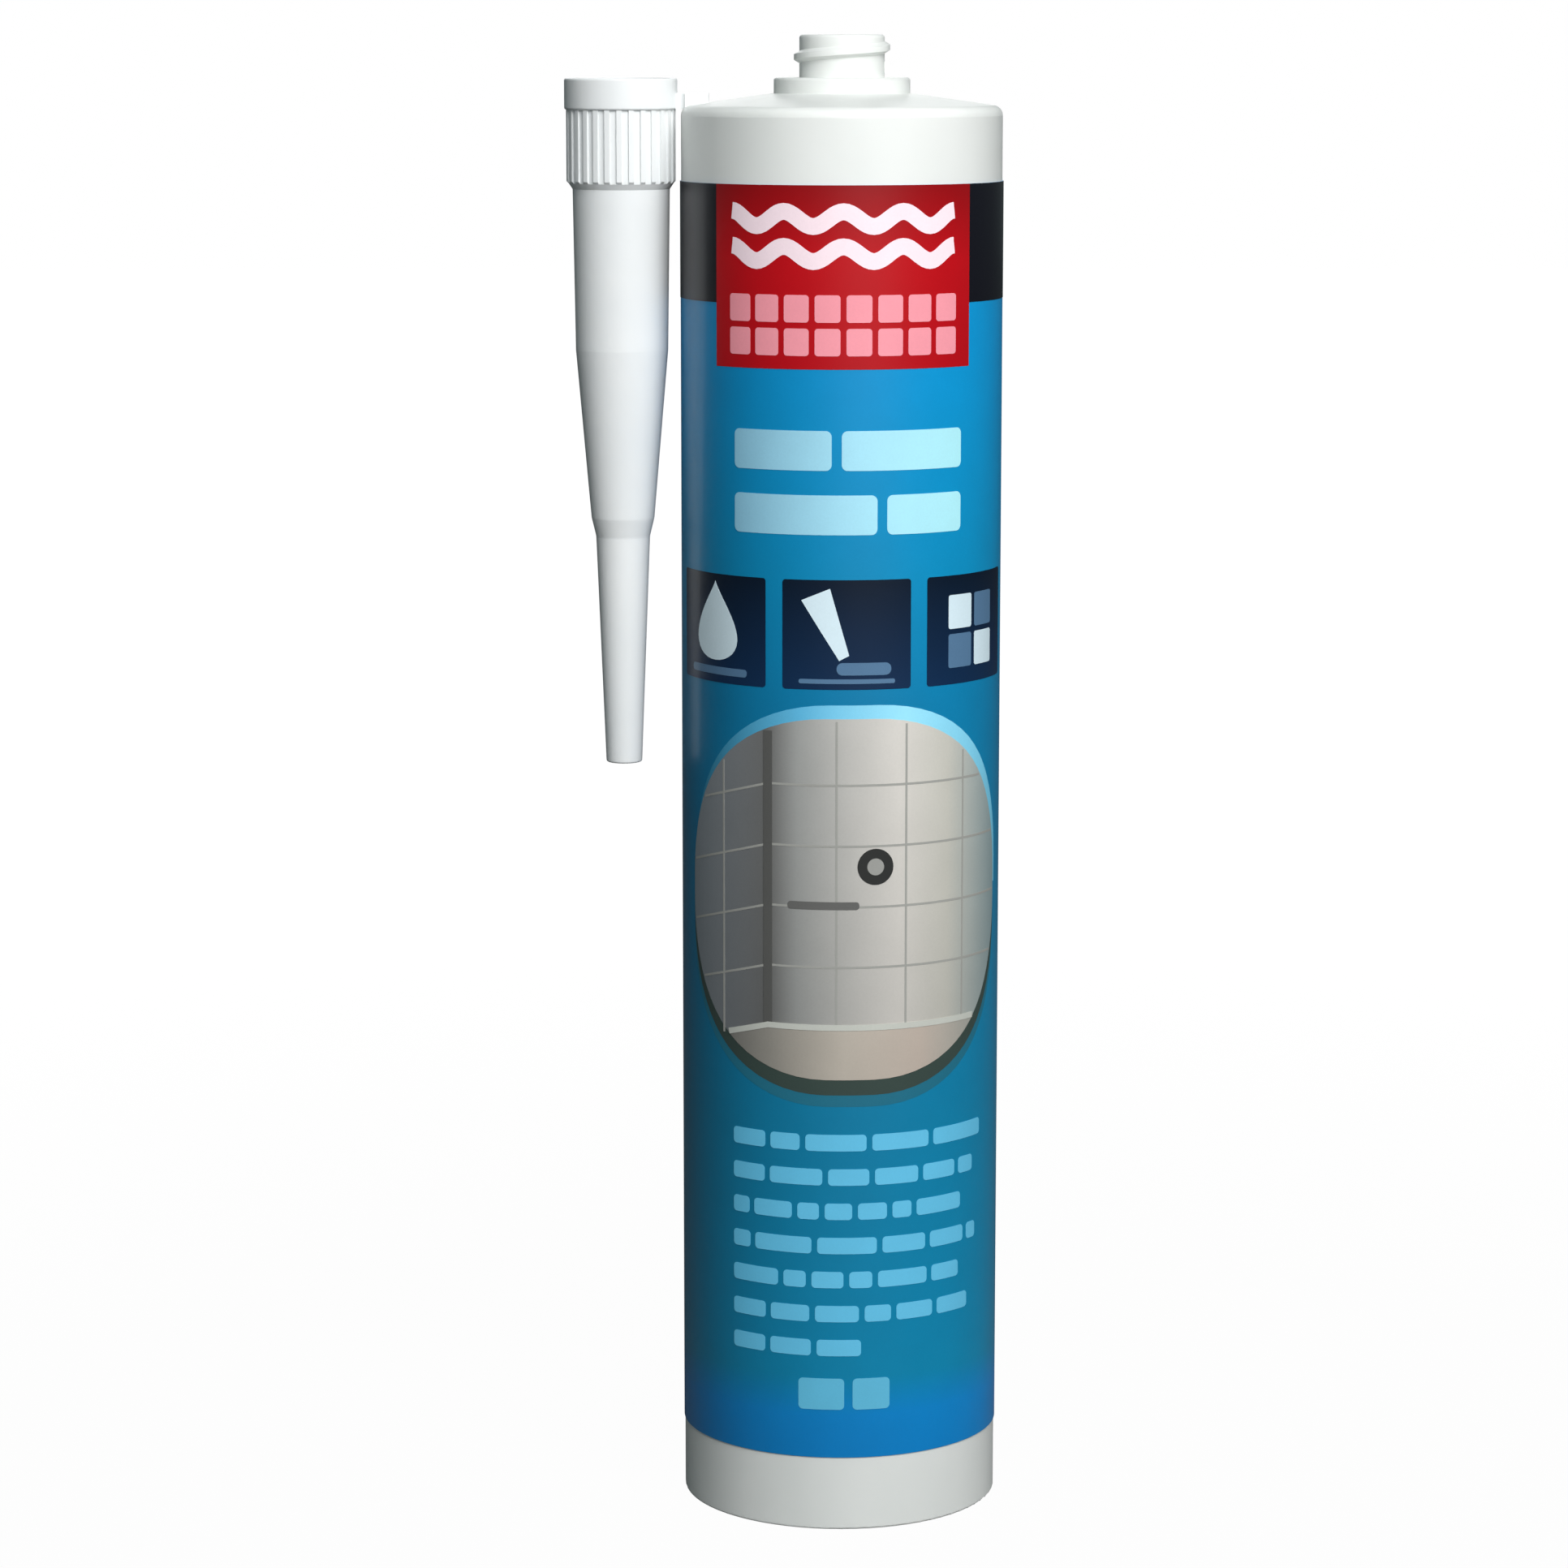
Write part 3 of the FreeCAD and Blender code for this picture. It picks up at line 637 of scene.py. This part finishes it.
@dataclass
class TitleWords:
    """Two rows of pale bars, each as long as a word of the title would be."""

    rows_mm: tuple[Point, ...] = ((165.5, 171.5), (155.8, 161.8))
    words_deg: tuple[tuple[Point, ...], ...] = (((-41.0, -4.0), (-0.5, 46.0)),
                                                ((-41.0, 12.0), (15.5, 46.0)))
    corner_mm: float = 0.9
    # Painted light: the tones grow lighter to the right, as the light falls from that side.
    tones: tuple[tuple[float, str], ...] = ((0.0, "#8cc3dc"), (0.5, "#a6dff2"), (1.0, "#b2f0fa"))
    tones_mm: Point = (-16.0, 18.0)

    def build(self, press: Press) -> None:
        """Prints the bars."""
        bars = []
        for (bottom, top), words in zip(self.rows_mm, self.words_deg):
            bars += [press.box(left, right, bottom, top, self.corner_mm) for left, right in words]
        # Pale blue, painted lighter to the right as painted light from that side; the lightest large
        # print on the label.
        pale = PrintedFilm("film_print_pale_blue", self.tones, low_mm=self.tones_mm[0],
                           high_mm=self.tones_mm[1], across=True)
        press.lay("title_words", pale, bars, "ink_pale_blue", replaces="print_title_bars")


class Symbol(Enum):
    """The plain symbols in the dark squares, numbered from the middle one."""

    DROP = -1
    NOZZLE = 0
    TILES = 1


@dataclass
class IconRow:
    """Three dark squares with a plain white symbol each: water, applying sealant, tiles.

    The symbols' places are in millimetres from the middle of a square's foot.
    """

    bottom_mm: float = 132.3
    top_mm: float = 149.0
    width_deg: float = 46.0
    step_deg: float = 52.5
    middle_deg: float = 1.5
    corner_mm: float = 0.5
    drop_foot_mm: float = 3.4
    drop_size_mm: Point = (11.0, 12.2)
    water_mm: tuple[Point, Point] = ((-6.6, 1.2), (6.6, 2.4))
    spout_mm: tuple[Point, ...] = ((-7.0, 13.6), (-1.2, 4.4), (0.3, 5.2), (-2.6, 15.4))
    bead_mm: tuple[Point, Point] = ((-1.6, 2.2), (6.8, 4.1))
    bead_corner_mm: float = 0.9
    ground_mm: tuple[Point, Point] = ((-7.4, 0.9), (7.4, 1.6))
    ground_corner_mm: float = 0.3
    tile_start_mm: Point = (-5.9, 2.5)
    tile_pitch_mm: float = 6.0
    tile_mm: float = 5.2
    tile_corner_mm: float = 0.4

    def build(self, press: Press) -> None:
        """Prints the squares and their symbols."""
        squares, bright, dim = [], [], []
        for symbol in Symbol:
            middle = self.middle_deg + symbol.value * self.step_deg
            squares.append(press.box(middle - self.width_deg / 2, middle + self.width_deg / 2,
                                     self.bottom_mm, self.top_mm, self.corner_mm))
            lit, grey = self.marks(symbol, press.wrap.arc(middle))
            bright += lit
            dim += grey
        # Navy as dark as the head band but bluer, which makes the white symbols stand out.
        navy = PrintedFilm("film_print_navy", ((0.0, "#0b2a4c"), (1.0, "#041528")),
                           low_mm=self.bottom_mm, high_mm=self.top_mm)
        press.lay("icon_squares", navy, squares, "ink_navy", replaces="print_icon_fields")
        press.lay("icon_symbols", flat_ink("film_print_white", "#d9edf6"), bright,
                  "ink_pale_blue", Layer.MARK)
        press.lay("icon_symbol_shades", flat_ink("film_print_grey_blue", "#56799a"), dim,
                  "ink_pale_blue", Layer.MARK)

    def marks(self, symbol: Symbol, middle: float) -> tuple[list[Outline], list[Outline]]:
        """The bright and the dim shapes of one symbol.

        Args:
            symbol: which one.
            middle: the square's middle, in millimetres across the label.

        Returns:
            The bright outlines and the dim ones.
        """
        if symbol is Symbol.DROP:
            return ([drop(self.spot(middle, (0.0, self.drop_foot_mm)), *self.drop_size_mm)],
                    [self.bar(middle, self.water_mm, self.corner_mm)])
        if symbol is Symbol.NOZZLE:
            spout = [self.spot(middle, point) for point in self.spout_mm]
            bead = self.bar(middle, self.bead_mm, self.bead_corner_mm)
            ground = self.bar(middle, self.ground_mm, self.ground_corner_mm)
            return [spout], [bead, ground]
        lit, grey = [], []
        for row in range(2):
            for column in range(2):
                low = (self.tile_start_mm[0] + column * self.tile_pitch_mm,
                       self.tile_start_mm[1] + row * self.tile_pitch_mm)
                high = (low[0] + self.tile_mm, low[1] + self.tile_mm)
                tile = self.bar(middle, (low, high), self.tile_corner_mm)
                (lit if row + column == 1 else grey).append(tile)
        return lit, grey

    def spot(self, middle: float, place: Point) -> Point:
        """A place in a square as a point of the label's drawing."""
        return middle + place[0], self.bottom_mm + place[1]

    def bar(self, middle: float, ends: tuple[Point, Point], corner: float) -> Outline:
        """A bar with rounded corners between two places in a square."""
        return rounded_box(self.spot(middle, ends[0]), self.spot(middle, ends[1]), corner)


@dataclass
class RoomPicture:
    """A plain picture of a tiled corner above a rim, with a bead of sealant in the joint.

    The tones run across the picture as it is seen from the front, between face_mm.
    """

    left_mm: float = -28.6
    right_mm: float = 31.0
    bottom_mm: float = 71.8
    top_mm: float = 127.8
    round_mm: float = 26.0
    inset_mm: float = 0.4
    face_mm: Point = (-22.7, 23.6)
    corner_mm: float = -11.8
    rim_mm: float = 80.0
    fall: float = 0.26
    tile_mm: float = 9.4
    tile_width_mm: float = 10.9
    tile_rows: int = 4
    tile_columns: int = 3
    side_joint_mm: float = -20.3
    joint_mm: float = 0.35
    edge_mm: float = 1.5
    bead_mm: float = 0.9
    ring_mm: Point = (5.1, 105.0)
    ring_radii_mm: Point = (2.8, 1.3)
    shelf_mm: tuple[Point, Point] = ((-8.5, 98.4), (2.6, 99.6))
    shelf_corner_mm: float = 0.5
    glow_shift_mm: Point = (0.6, 2.1)
    shade_drops_mm: Point = (2.4, 4.2)
    rise_gains: Point = (0.9, 1.18)
    # The wall's and the rim's last stops darken towards the picture's right end: painted shade where the
    # tube turns away from the light.
    wall_tones: tuple[tuple[float, str], ...] = (
        (0.0, "#868c92"), (0.24, "#666665"), (0.34, "#979896"), (0.68, "#cac6c0"),
        (0.84, "#bebcb3"), (1.0, "#8a9da0"))
    rim_tones: tuple[tuple[float, str], ...] = (
        (0.0, "#6d6e6c"), (0.25, "#97938b"), (0.5, "#c2b9ad"), (0.75, "#c4b6aa"), (1.0, "#98a09a"))
    glow_tones: tuple[tuple[float, str], ...] = (
        (0.0, "#2a7898"), (0.35, "#5aaed4"), (0.7, "#93d8ee"), (1.0, "#74c4e2"))

    def shape(self, aside: float = 0.0, up: float = 0.0) -> Outline:
        """The picture's outline, moved aside and up."""
        low = (self.left_mm + aside, self.bottom_mm + up)
        high = (self.right_mm + aside, self.top_mm + up)
        return rounded_box(low, high, self.round_mm, steps=18)

    def span(self, up: float) -> Point:
        """The picture's left and right ends at a height, a little inside its outline."""
        low_centre = self.bottom_mm + self.round_mm
        high_centre = self.top_mm - self.round_mm
        rise = max(low_centre - up, up - high_centre, 0.0)
        chord = self.round_mm - math.sqrt(self.round_mm ** 2 - rise ** 2) + self.inset_mm
        return self.left_mm + chord, self.right_mm - chord

    def crown(self, across: float) -> float:
        """The height of the picture's upper edge, a little inside its outline."""
        aside = max(self.left_mm + self.round_mm - across, across - self.right_mm + self.round_mm, 0.0)
        chord = self.round_mm - math.sqrt(self.round_mm ** 2 - aside ** 2)
        return self.top_mm - chord - self.inset_mm

    def build(self, press: Press) -> None:
        """Prints the picture from its soft edges up."""
        self.edges(press)
        self.grounds(press)
        self.lines(press)
        self.fittings(press)

    def tones(self, name: str, stops: tuple[tuple[float, str], ...]) -> PrintedFilm:
        """An ink that changes across the picture and grows lighter up it."""
        return PrintedFilm(name, stops, low_mm=self.face_mm[0], high_mm=self.face_mm[1],
                           across=True, cross_mm=(self.bottom_mm, self.top_mm),
                           cross_gains=self.rise_gains)

    def edges(self, press: Press) -> None:
        """The pale glow along the top and the shadow along the bottom."""
        middle = (0, (self.bottom_mm + self.top_mm) / 2)
        # A light blue rim that lifts the picture off the ground, and under it a soft dark one.
        press.lay("picture_glow", self.tones("film_print_glow", self.glow_tones),
                  [self.shape(*self.glow_shift_mm)], "ink_pale_blue", Layer.SHADE,
                  cuts=[(middle, (0, -1))])
        near, far = self.shade_drops_mm
        press.lay("picture_shadow", flat_ink("film_print_shadow", "#394843"),
                  [self.shape(0, -near)], "ink_dark", Layer.SHADE, cuts=[(middle, (0, 1))])
        press.lay("picture_shadow_edge", flat_ink("film_print_shadow_edge", "#216e86"),
                  [self.shape(0, -far)], "ink_dark", Layer.UNDER, cuts=[(middle, (0, 1))])

    def grounds(self, press: Press) -> None:
        """The walls and the rim below them."""
        # Warm greys as of glazed tiles in daylight: dim on the side wall, pale on the back wall, and
        # darker at the picture's right end as painted shade.
        press.lay("picture_wall", self.tones("film_print_wall", self.wall_tones),
                  [self.shape()], "ink_warm_grey", replaces="print_picture_field")
        corner = (self.corner_mm, self.rim_mm)
        press.lay("picture_rim", self.tones("film_print_rim", self.rim_tones), [self.shape()],
                  "ink_warm_grey", Layer.MARK, cuts=[(corner, (0, 1)), (corner, (-self.fall, 1))])

    def lines(self, press: Press) -> None:
        """The joints between the tiles, the edge of the corner and the bead."""
        corner, level = self.corner_mm, self.rim_mm
        joints = []
        for row in range(1, self.tile_rows + 1):
            up = level + self.tile_mm * row
            joints.append([(corner, up), (self.span(up)[1], up)])
            joints.append([self.side_end(up), (corner, up)])
        for column in range(1, self.tile_columns + 1):
            across = corner + self.tile_width_mm * column
            joints.append([(across, level), (across, self.crown(across))])
        side_foot = level - self.fall * (corner - self.side_joint_mm)
        joints.append([(self.side_joint_mm, side_foot),
                       (self.side_joint_mm, self.crown(self.side_joint_mm))])
        press.lay("picture_joints", flat_ink("film_print_joint", "#a2a29d"),
                  [step for path in joints for step in stroke(path, self.joint_mm)],
                  "ink_warm_grey", Layer.MARK)
        edge = stroke([(corner, level), (corner, self.crown(corner))], self.edge_mm)
        press.lay("picture_corner", flat_ink("film_print_corner", "#5b5b59"), edge,
                  "ink_warm_grey", Layer.OVER)
        bead = [self.side_end(level), (corner, level), (self.span(level)[1], level)]
        press.lay("picture_bead", flat_ink("film_print_bead", "#c6c8c0"),
                  stroke(bead, self.bead_mm), "ink_warm_grey", Layer.TOP)

    def side_end(self, up: float) -> Point:
        """Where a line that falls along the side wall meets the picture's left edge.

        Args:
            up: the line's height at the corner.

        Returns:
            The meeting point.
        """
        end = self.left_mm
        # Each round brings the end closer to the outline.
        for _ in range(8):
            end = self.span(up - self.fall * (self.corner_mm - end))[0]
        return end, up - self.fall * (self.corner_mm - end)

    def fittings(self, press: Press) -> None:
        """A dark ring and a shelf on the wall, the small accents of the picture."""
        outer, inner = self.ring_radii_mm
        press.lay("picture_ring", flat_ink("film_print_ring", "#2e2f2e"),
                  [disc(self.ring_mm, outer)], "ink_dark", Layer.OVER)
        press.lay("picture_ring_middle", flat_ink("film_print_ring_middle", "#9c9c98"),
                  [disc(self.ring_mm, inner)], "ink_warm_grey", Layer.TOP)
        press.lay("picture_shelf", flat_ink("film_print_shelf", "#666664"),
                  [rounded_box(*self.shelf_mm, self.shelf_corner_mm)], "ink_dark", Layer.OVER)


@dataclass
class SmallPrint:
    """The lines of small print and the volume, as bars of word length."""

    bottom_mm: float = 28.0
    pitch_mm: float = 5.43
    height_mm: float = 2.6
    left_deg: float = -42.0
    right_deg: tuple[float, ...] = (7.0, 52.0, 47.0, 57.0, 48.0, 55.0, 60.0)
    word_mm: Point = (3.0, 9.5)
    shortest_mm: float = 1.0
    space_mm: float = 0.9
    corner_mm: float = 0.6
    volume_mm: Point = (19.4, 24.4)
    volume_words_deg: tuple[Point, ...] = ((-15.5, 1.0), (4.0, 17.5))
    volume_corner_mm: float = 0.7
    seed: int = 11

    def build(self, press: Press) -> None:
        """Prints the lines and the volume."""
        chance = random.Random(self.seed)
        bars = []
        for row, right_deg in enumerate(self.right_deg):
            bars += self.line(chance, press.wrap.arc(self.left_deg), press.wrap.arc(right_deg),
                              self.bottom_mm + row * self.pitch_mm)
        # Light blue, so that the small print reads as a quiet block below the picture.
        press.lay("small_print_words", flat_ink("film_print_light_blue", "#66c4ea"), bars,
                  "ink_light_blue", replaces="print_text_bars")
        volume = [press.box(left, right, *self.volume_mm, self.volume_corner_mm)
                  for left, right in self.volume_words_deg]
        press.lay("volume_words", flat_ink("film_print_volume_blue", "#62bcde"), volume,
                  "ink_light_blue", replaces="print_volume_bar")

    def line(self, chance: random.Random, start: float, stop: float, foot: float) -> list[Outline]:
        """One line's words.

        Args:
            chance: where the word lengths come from.
            start: the line's left end, in millimetres across.
            stop: its right end.
            foot: its height on the tube.

        Returns:
            The words' outlines.
        """
        words = []
        shortest, longest = self.word_mm
        while start < stop - self.shortest_mm:
            length = chance.uniform(shortest, longest)
            if stop - start - length < shortest:
                length = stop - start
            words.append(rounded_box((start, foot), (start + length, foot + self.height_mm),
                                     self.corner_mm))
            start += length + self.space_mm
        return words


@dataclass
class Label:
    """The printed label: the film and everything on it, from its lower layers up."""

    film: LabelFilm
    press: Press
    head: HeadPanel = field(default_factory=HeadPanel)
    title: TitleWords = field(default_factory=TitleWords)
    icons: IconRow = field(default_factory=IconRow)
    picture: RoomPicture = field(default_factory=RoomPicture)
    small_print: SmallPrint = field(default_factory=SmallPrint)

    def build(self) -> list[bpy.types.Object]:
        """Builds the label.

        Returns:
            Its pieces.
        """
        for part in (self.film, self.head, self.title, self.icons, self.picture, self.small_print):
            part.build(self.press)
        return self.press.pieces


@dataclass
class Cartridge:
    """The barrel, piston and nozzle as the CAD has them, and the fill in two portions.

    The blown barrel is drawn out along its length, so its clouds are too. The nozzle is moulded,
    a little whiter and glossier. The piston has no pigment and is duller.
    """

    barrel: MouldedPolyethylene = MouldedPolyethylene("polyethylene_blown_white")
    nozzle: MouldedPolyethylene = MouldedPolyethylene(
        "polyethylene_moulded_white", colour="#f0f2f2", shade="#e9eced", roughness=0.32, stretch=1.0)
    piston: MouldedPolyethylene = MouldedPolyethylene(
        "polyethylene_moulded_natural", colour="#e3e5df", shade="#d8dbd5", roughness=0.45,
        stretch=1.0)
    paste: SealantPaste = SealantPaste()
    weld_mm: float = 0.002

    def build(self) -> list[bpy.types.Object]:
        """Dresses the moulded pieces and makes the paste.

        Returns:
            The pieces.
        """
        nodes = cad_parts
        finishes = {"cartridge_barrel": self.barrel, "nozzle": self.nozzle, "piston": self.piston}
        for name, finish in finishes.items():
            clothe(nodes[name], finish.material())
        return [nodes[name] for name in finishes] + self.fill()

    def fill(self) -> list[bpy.types.Object]:
        """The paste between piston and neck, parted at the foot of the shoulder.

        The slug in the bore is cut off below that level and gets a mesh of its own. The paste in
        the shoulder and the neck is the portion above it.

        Returns:
            The slug and the paste above it.
        """
        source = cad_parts["sealant_fill"].data
        reach = max(math.hypot(vert.co.x, vert.co.y) for vert in source.vertices)
        bore = [vert.co.z for vert in source.vertices
                if math.hypot(vert.co.x, vert.co.y) > reach - self.weld_mm * MM]
        foot, shoulder = min(bore), max(bore)
        slug = self.portion("sealant_paste", source, shoulder, 1)
        head = self.portion("sealant_paste_head", source, shoulder, -1)
        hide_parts("sealant_fill")
        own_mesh(slug)
        return [slug, head]

    def portion(self, name: str, source: bpy.types.Mesh, level: float, away: int) -> bpy.types.Object:
        """One closed portion of the fill, on one side of a level.

        Args:
            name: the piece's name.
            source: the whole fill's mesh.
            level: the height of the cut, in metres.
            away: 1 to cut away what is above the level, -1 for what is below.

        Returns:
            The piece, riding the cartridge.
        """
        body = bmesh.new()
        body.from_mesh(source)
        bmesh.ops.remove_doubles(body, verts=body.verts[:], dist=self.weld_mm * MM)
        bmesh.ops.bisect_plane(
            body, geom=body.verts[:] + body.edges[:] + body.faces[:], dist=self.weld_mm * MM,
            clear_outer=True, plane_co=(0, 0, level), plane_no=(0, 0, away))
        bmesh.ops.holes_fill(body, edges=[edge for edge in body.edges if edge.is_boundary])
        bmesh.ops.recalc_face_normals(body, faces=body.faces[:])
        mesh = bpy.data.meshes.new(name)
        body.to_mesh(mesh)
        body.free()
        piece = bpy.data.objects.new(name, mesh)
        bpy.context.scene.collection.objects.link(piece)
        clothe(piece, self.paste.material())
        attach(piece, CARTRIDGE)
        return piece


@dataclass(frozen=True)
class SoftLamp:
    """One square soft light, aimed at a point."""

    name: str
    place: tuple[float, float, float]
    aim: tuple[float, float, float]
    size: float
    watts: float
    colour: str = "#ffffff"

    def build(self) -> None:
        """Makes the light."""
        data = bpy.data.lights.new(self.name, "AREA")
        data.color = linear(self.colour)[:3]
        data.shape = "SQUARE"
        data.size = self.size
        data.energy = self.watts
        lamp = bpy.data.objects.new(self.name, data)
        lamp.location = self.place
        lamp.rotation_euler = (Vector(self.aim) - Vector(self.place)).to_track_quat("-Z", "Y").to_euler()
        bpy.context.scene.collection.objects.link(lamp)


@dataclass
class Studio:
    """The pale floor, the white surround, the lamps and the camera."""

    floor_size: float = 8.0
    floor_colour: str = "#6e6e6e"
    floor_whites: Point = (0.95, 1.0)
    floor_fade: Point = (0.15, 0.8)
    floor_glow: float = 1.03
    floor_drop: float = 0.0001
    ambient: float = 0.175
    ambient_colour: str = "#d4eaec"
    camera_place: tuple[float, float, float] = (-0.0089, -0.7161, 0.2292)
    camera_pitch: float = 9.15
    lens_mm: float = 105.8
    sensor_mm: float = 36.0
    nearest: float = 0.01
    lamps: tuple[SoftLamp, ...] = (
        SoftLamp("key_front_right", (0.22, -0.62, 0.6), (0, 0, 0.14), 0.55, 8.1),
        SoftLamp("top_right", (0.5, -0.15, 1.0), (0, 0, 0.2), 0.6, 0.3, "#ffeeea"),
        SoftLamp("back", (-0.1, 1.3, 0.54), (0, 0, 0.1), 0.5, 1.7))

    def build(self) -> None:
        """Makes the studio."""
        self.floor()
        self.surround()
        for lamp in self.lamps:
            lamp.build()
        self.camera()

    def floor(self) -> None:
        """A plain pale floor: white to the camera, but for the faint shadow near the object.

        It is clear from below, so that the open base can be looked at.
        """
        half = self.floor_size / 2
        mesh = bpy.data.meshes.new("floor")
        mesh.from_pydata([(-half, -half, 0), (half, -half, 0), (half, half, 0), (-half, half, 0)],
                         [], [(0, 1, 2, 3)])
        floor = bpy.data.objects.new("floor", mesh)
        floor.location.z = -self.floor_drop
        bpy.context.scene.collection.objects.link(floor)
        material = empty_material("studio_floor_painted")
        place = add_node(material, "ShaderNodeTexCoord").outputs["Object"]
        reach = add_node(material, "ShaderNodeVectorMath", {0: place}, operation="LENGTH")
        white = add_node(material, "ShaderNodeMapRange", {
            "Value": reach.outputs["Value"], "From Min": self.floor_fade[0],
            "From Max": self.floor_fade[1], "To Min": self.floor_whites[0],
            "To Max": self.floor_whites[1]})
        path = add_node(material, "ShaderNodeLightPath")
        seen = add_node(material, "ShaderNodeMath", {
            0: path.outputs["Is Camera Ray"], 1: white.outputs[0]}, operation="MULTIPLY")
        matt = add_node(material, "ShaderNodeBsdfDiffuse", {"Color": linear(self.floor_colour)})
        glow = add_node(material, "ShaderNodeEmission", {
            "Color": (1, 1, 1, 1), "Strength": self.floor_glow})
        mixed = add_node(material, "ShaderNodeMixShader", {
            0: seen.outputs[0], 1: matt.outputs[0], 2: glow.outputs[0]})
        sides = add_node(material, "ShaderNodeNewGeometry")
        clear = add_node(material, "ShaderNodeBsdfTransparent")
        shown = add_node(material, "ShaderNodeMixShader", {
            0: sides.outputs["Backfacing"], 1: mixed.outputs[0], 2: clear.outputs[0]})
        add_node(material, "ShaderNodeOutputMaterial", {"Surface": shown.outputs[0]})
        clothe(floor, material)

    def surround(self) -> None:
        """The surround: a dim even light, and white where the camera sees it."""
        world = bpy.data.worlds.new("studio_surround")
        world.use_nodes = True
        world.node_tree.nodes.clear()
        path = add_node(world, "ShaderNodeLightPath")
        seen = add_node(world, "ShaderNodeMath", {
            0: path.outputs["Is Camera Ray"], 1: path.outputs["Is Transmission Ray"]},
            operation="MAXIMUM")
        dim = add_node(world, "ShaderNodeBackground", {
            "Color": linear(self.ambient_colour), "Strength": self.ambient})
        white = add_node(world, "ShaderNodeBackground", {"Color": (1, 1, 1, 1), "Strength": 1.0})
        mixed = add_node(world, "ShaderNodeMixShader", {
            0: seen.outputs[0], 1: dim.outputs[0], 2: white.outputs[0]})
        add_node(world, "ShaderNodeOutputWorld", {"Surface": mixed.outputs[0]})
        bpy.context.scene.world = world

    def camera(self) -> None:
        """The camera, placed and tilted as the photograph's outline gives."""
        data = bpy.data.cameras.new("camera")
        data.lens = self.lens_mm
        data.sensor_width = self.sensor_mm
        data.clip_start = self.nearest
        camera = bpy.data.objects.new("camera", data)
        camera.location = self.camera_place
        camera.rotation_euler = (math.radians(90 - self.camera_pitch), 0, 0)
        bpy.context.scene.collection.objects.link(camera)
        bpy.context.scene.camera = camera


def report(sub_assembly: str, pieces: Iterable[bpy.types.Object]) -> None:
    """Logs each piece of a sub-assembly."""
    for piece in pieces:
        LOG.info("%s: %s, %d faces", sub_assembly, piece.name, len(piece.data.polygons))


def make_label() -> Label:
    """A label sized from the film of the CAD.

    Returns:
        The label, not built yet.
    """
    low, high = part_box("wrap_label")
    outer_mm = high.x / MM
    film = LabelFilm(outer_mm - FILM_MM, low.z / MM, high.z / MM)
    return Label(film, Press(Wrap(outer_mm)))


def main() -> None:
    """Dresses the cartridge, prints its label and sets up the studio."""
    logging.basicConfig(level=logging.INFO, format="%(name)s: %(message)s")
    Studio().build()
    report("cartridge", Cartridge().build())
    report("label", make_label().build())
    bpy.context.scene.view_settings.view_transform = "Standard"


if __name__ == "__main__":
    main()
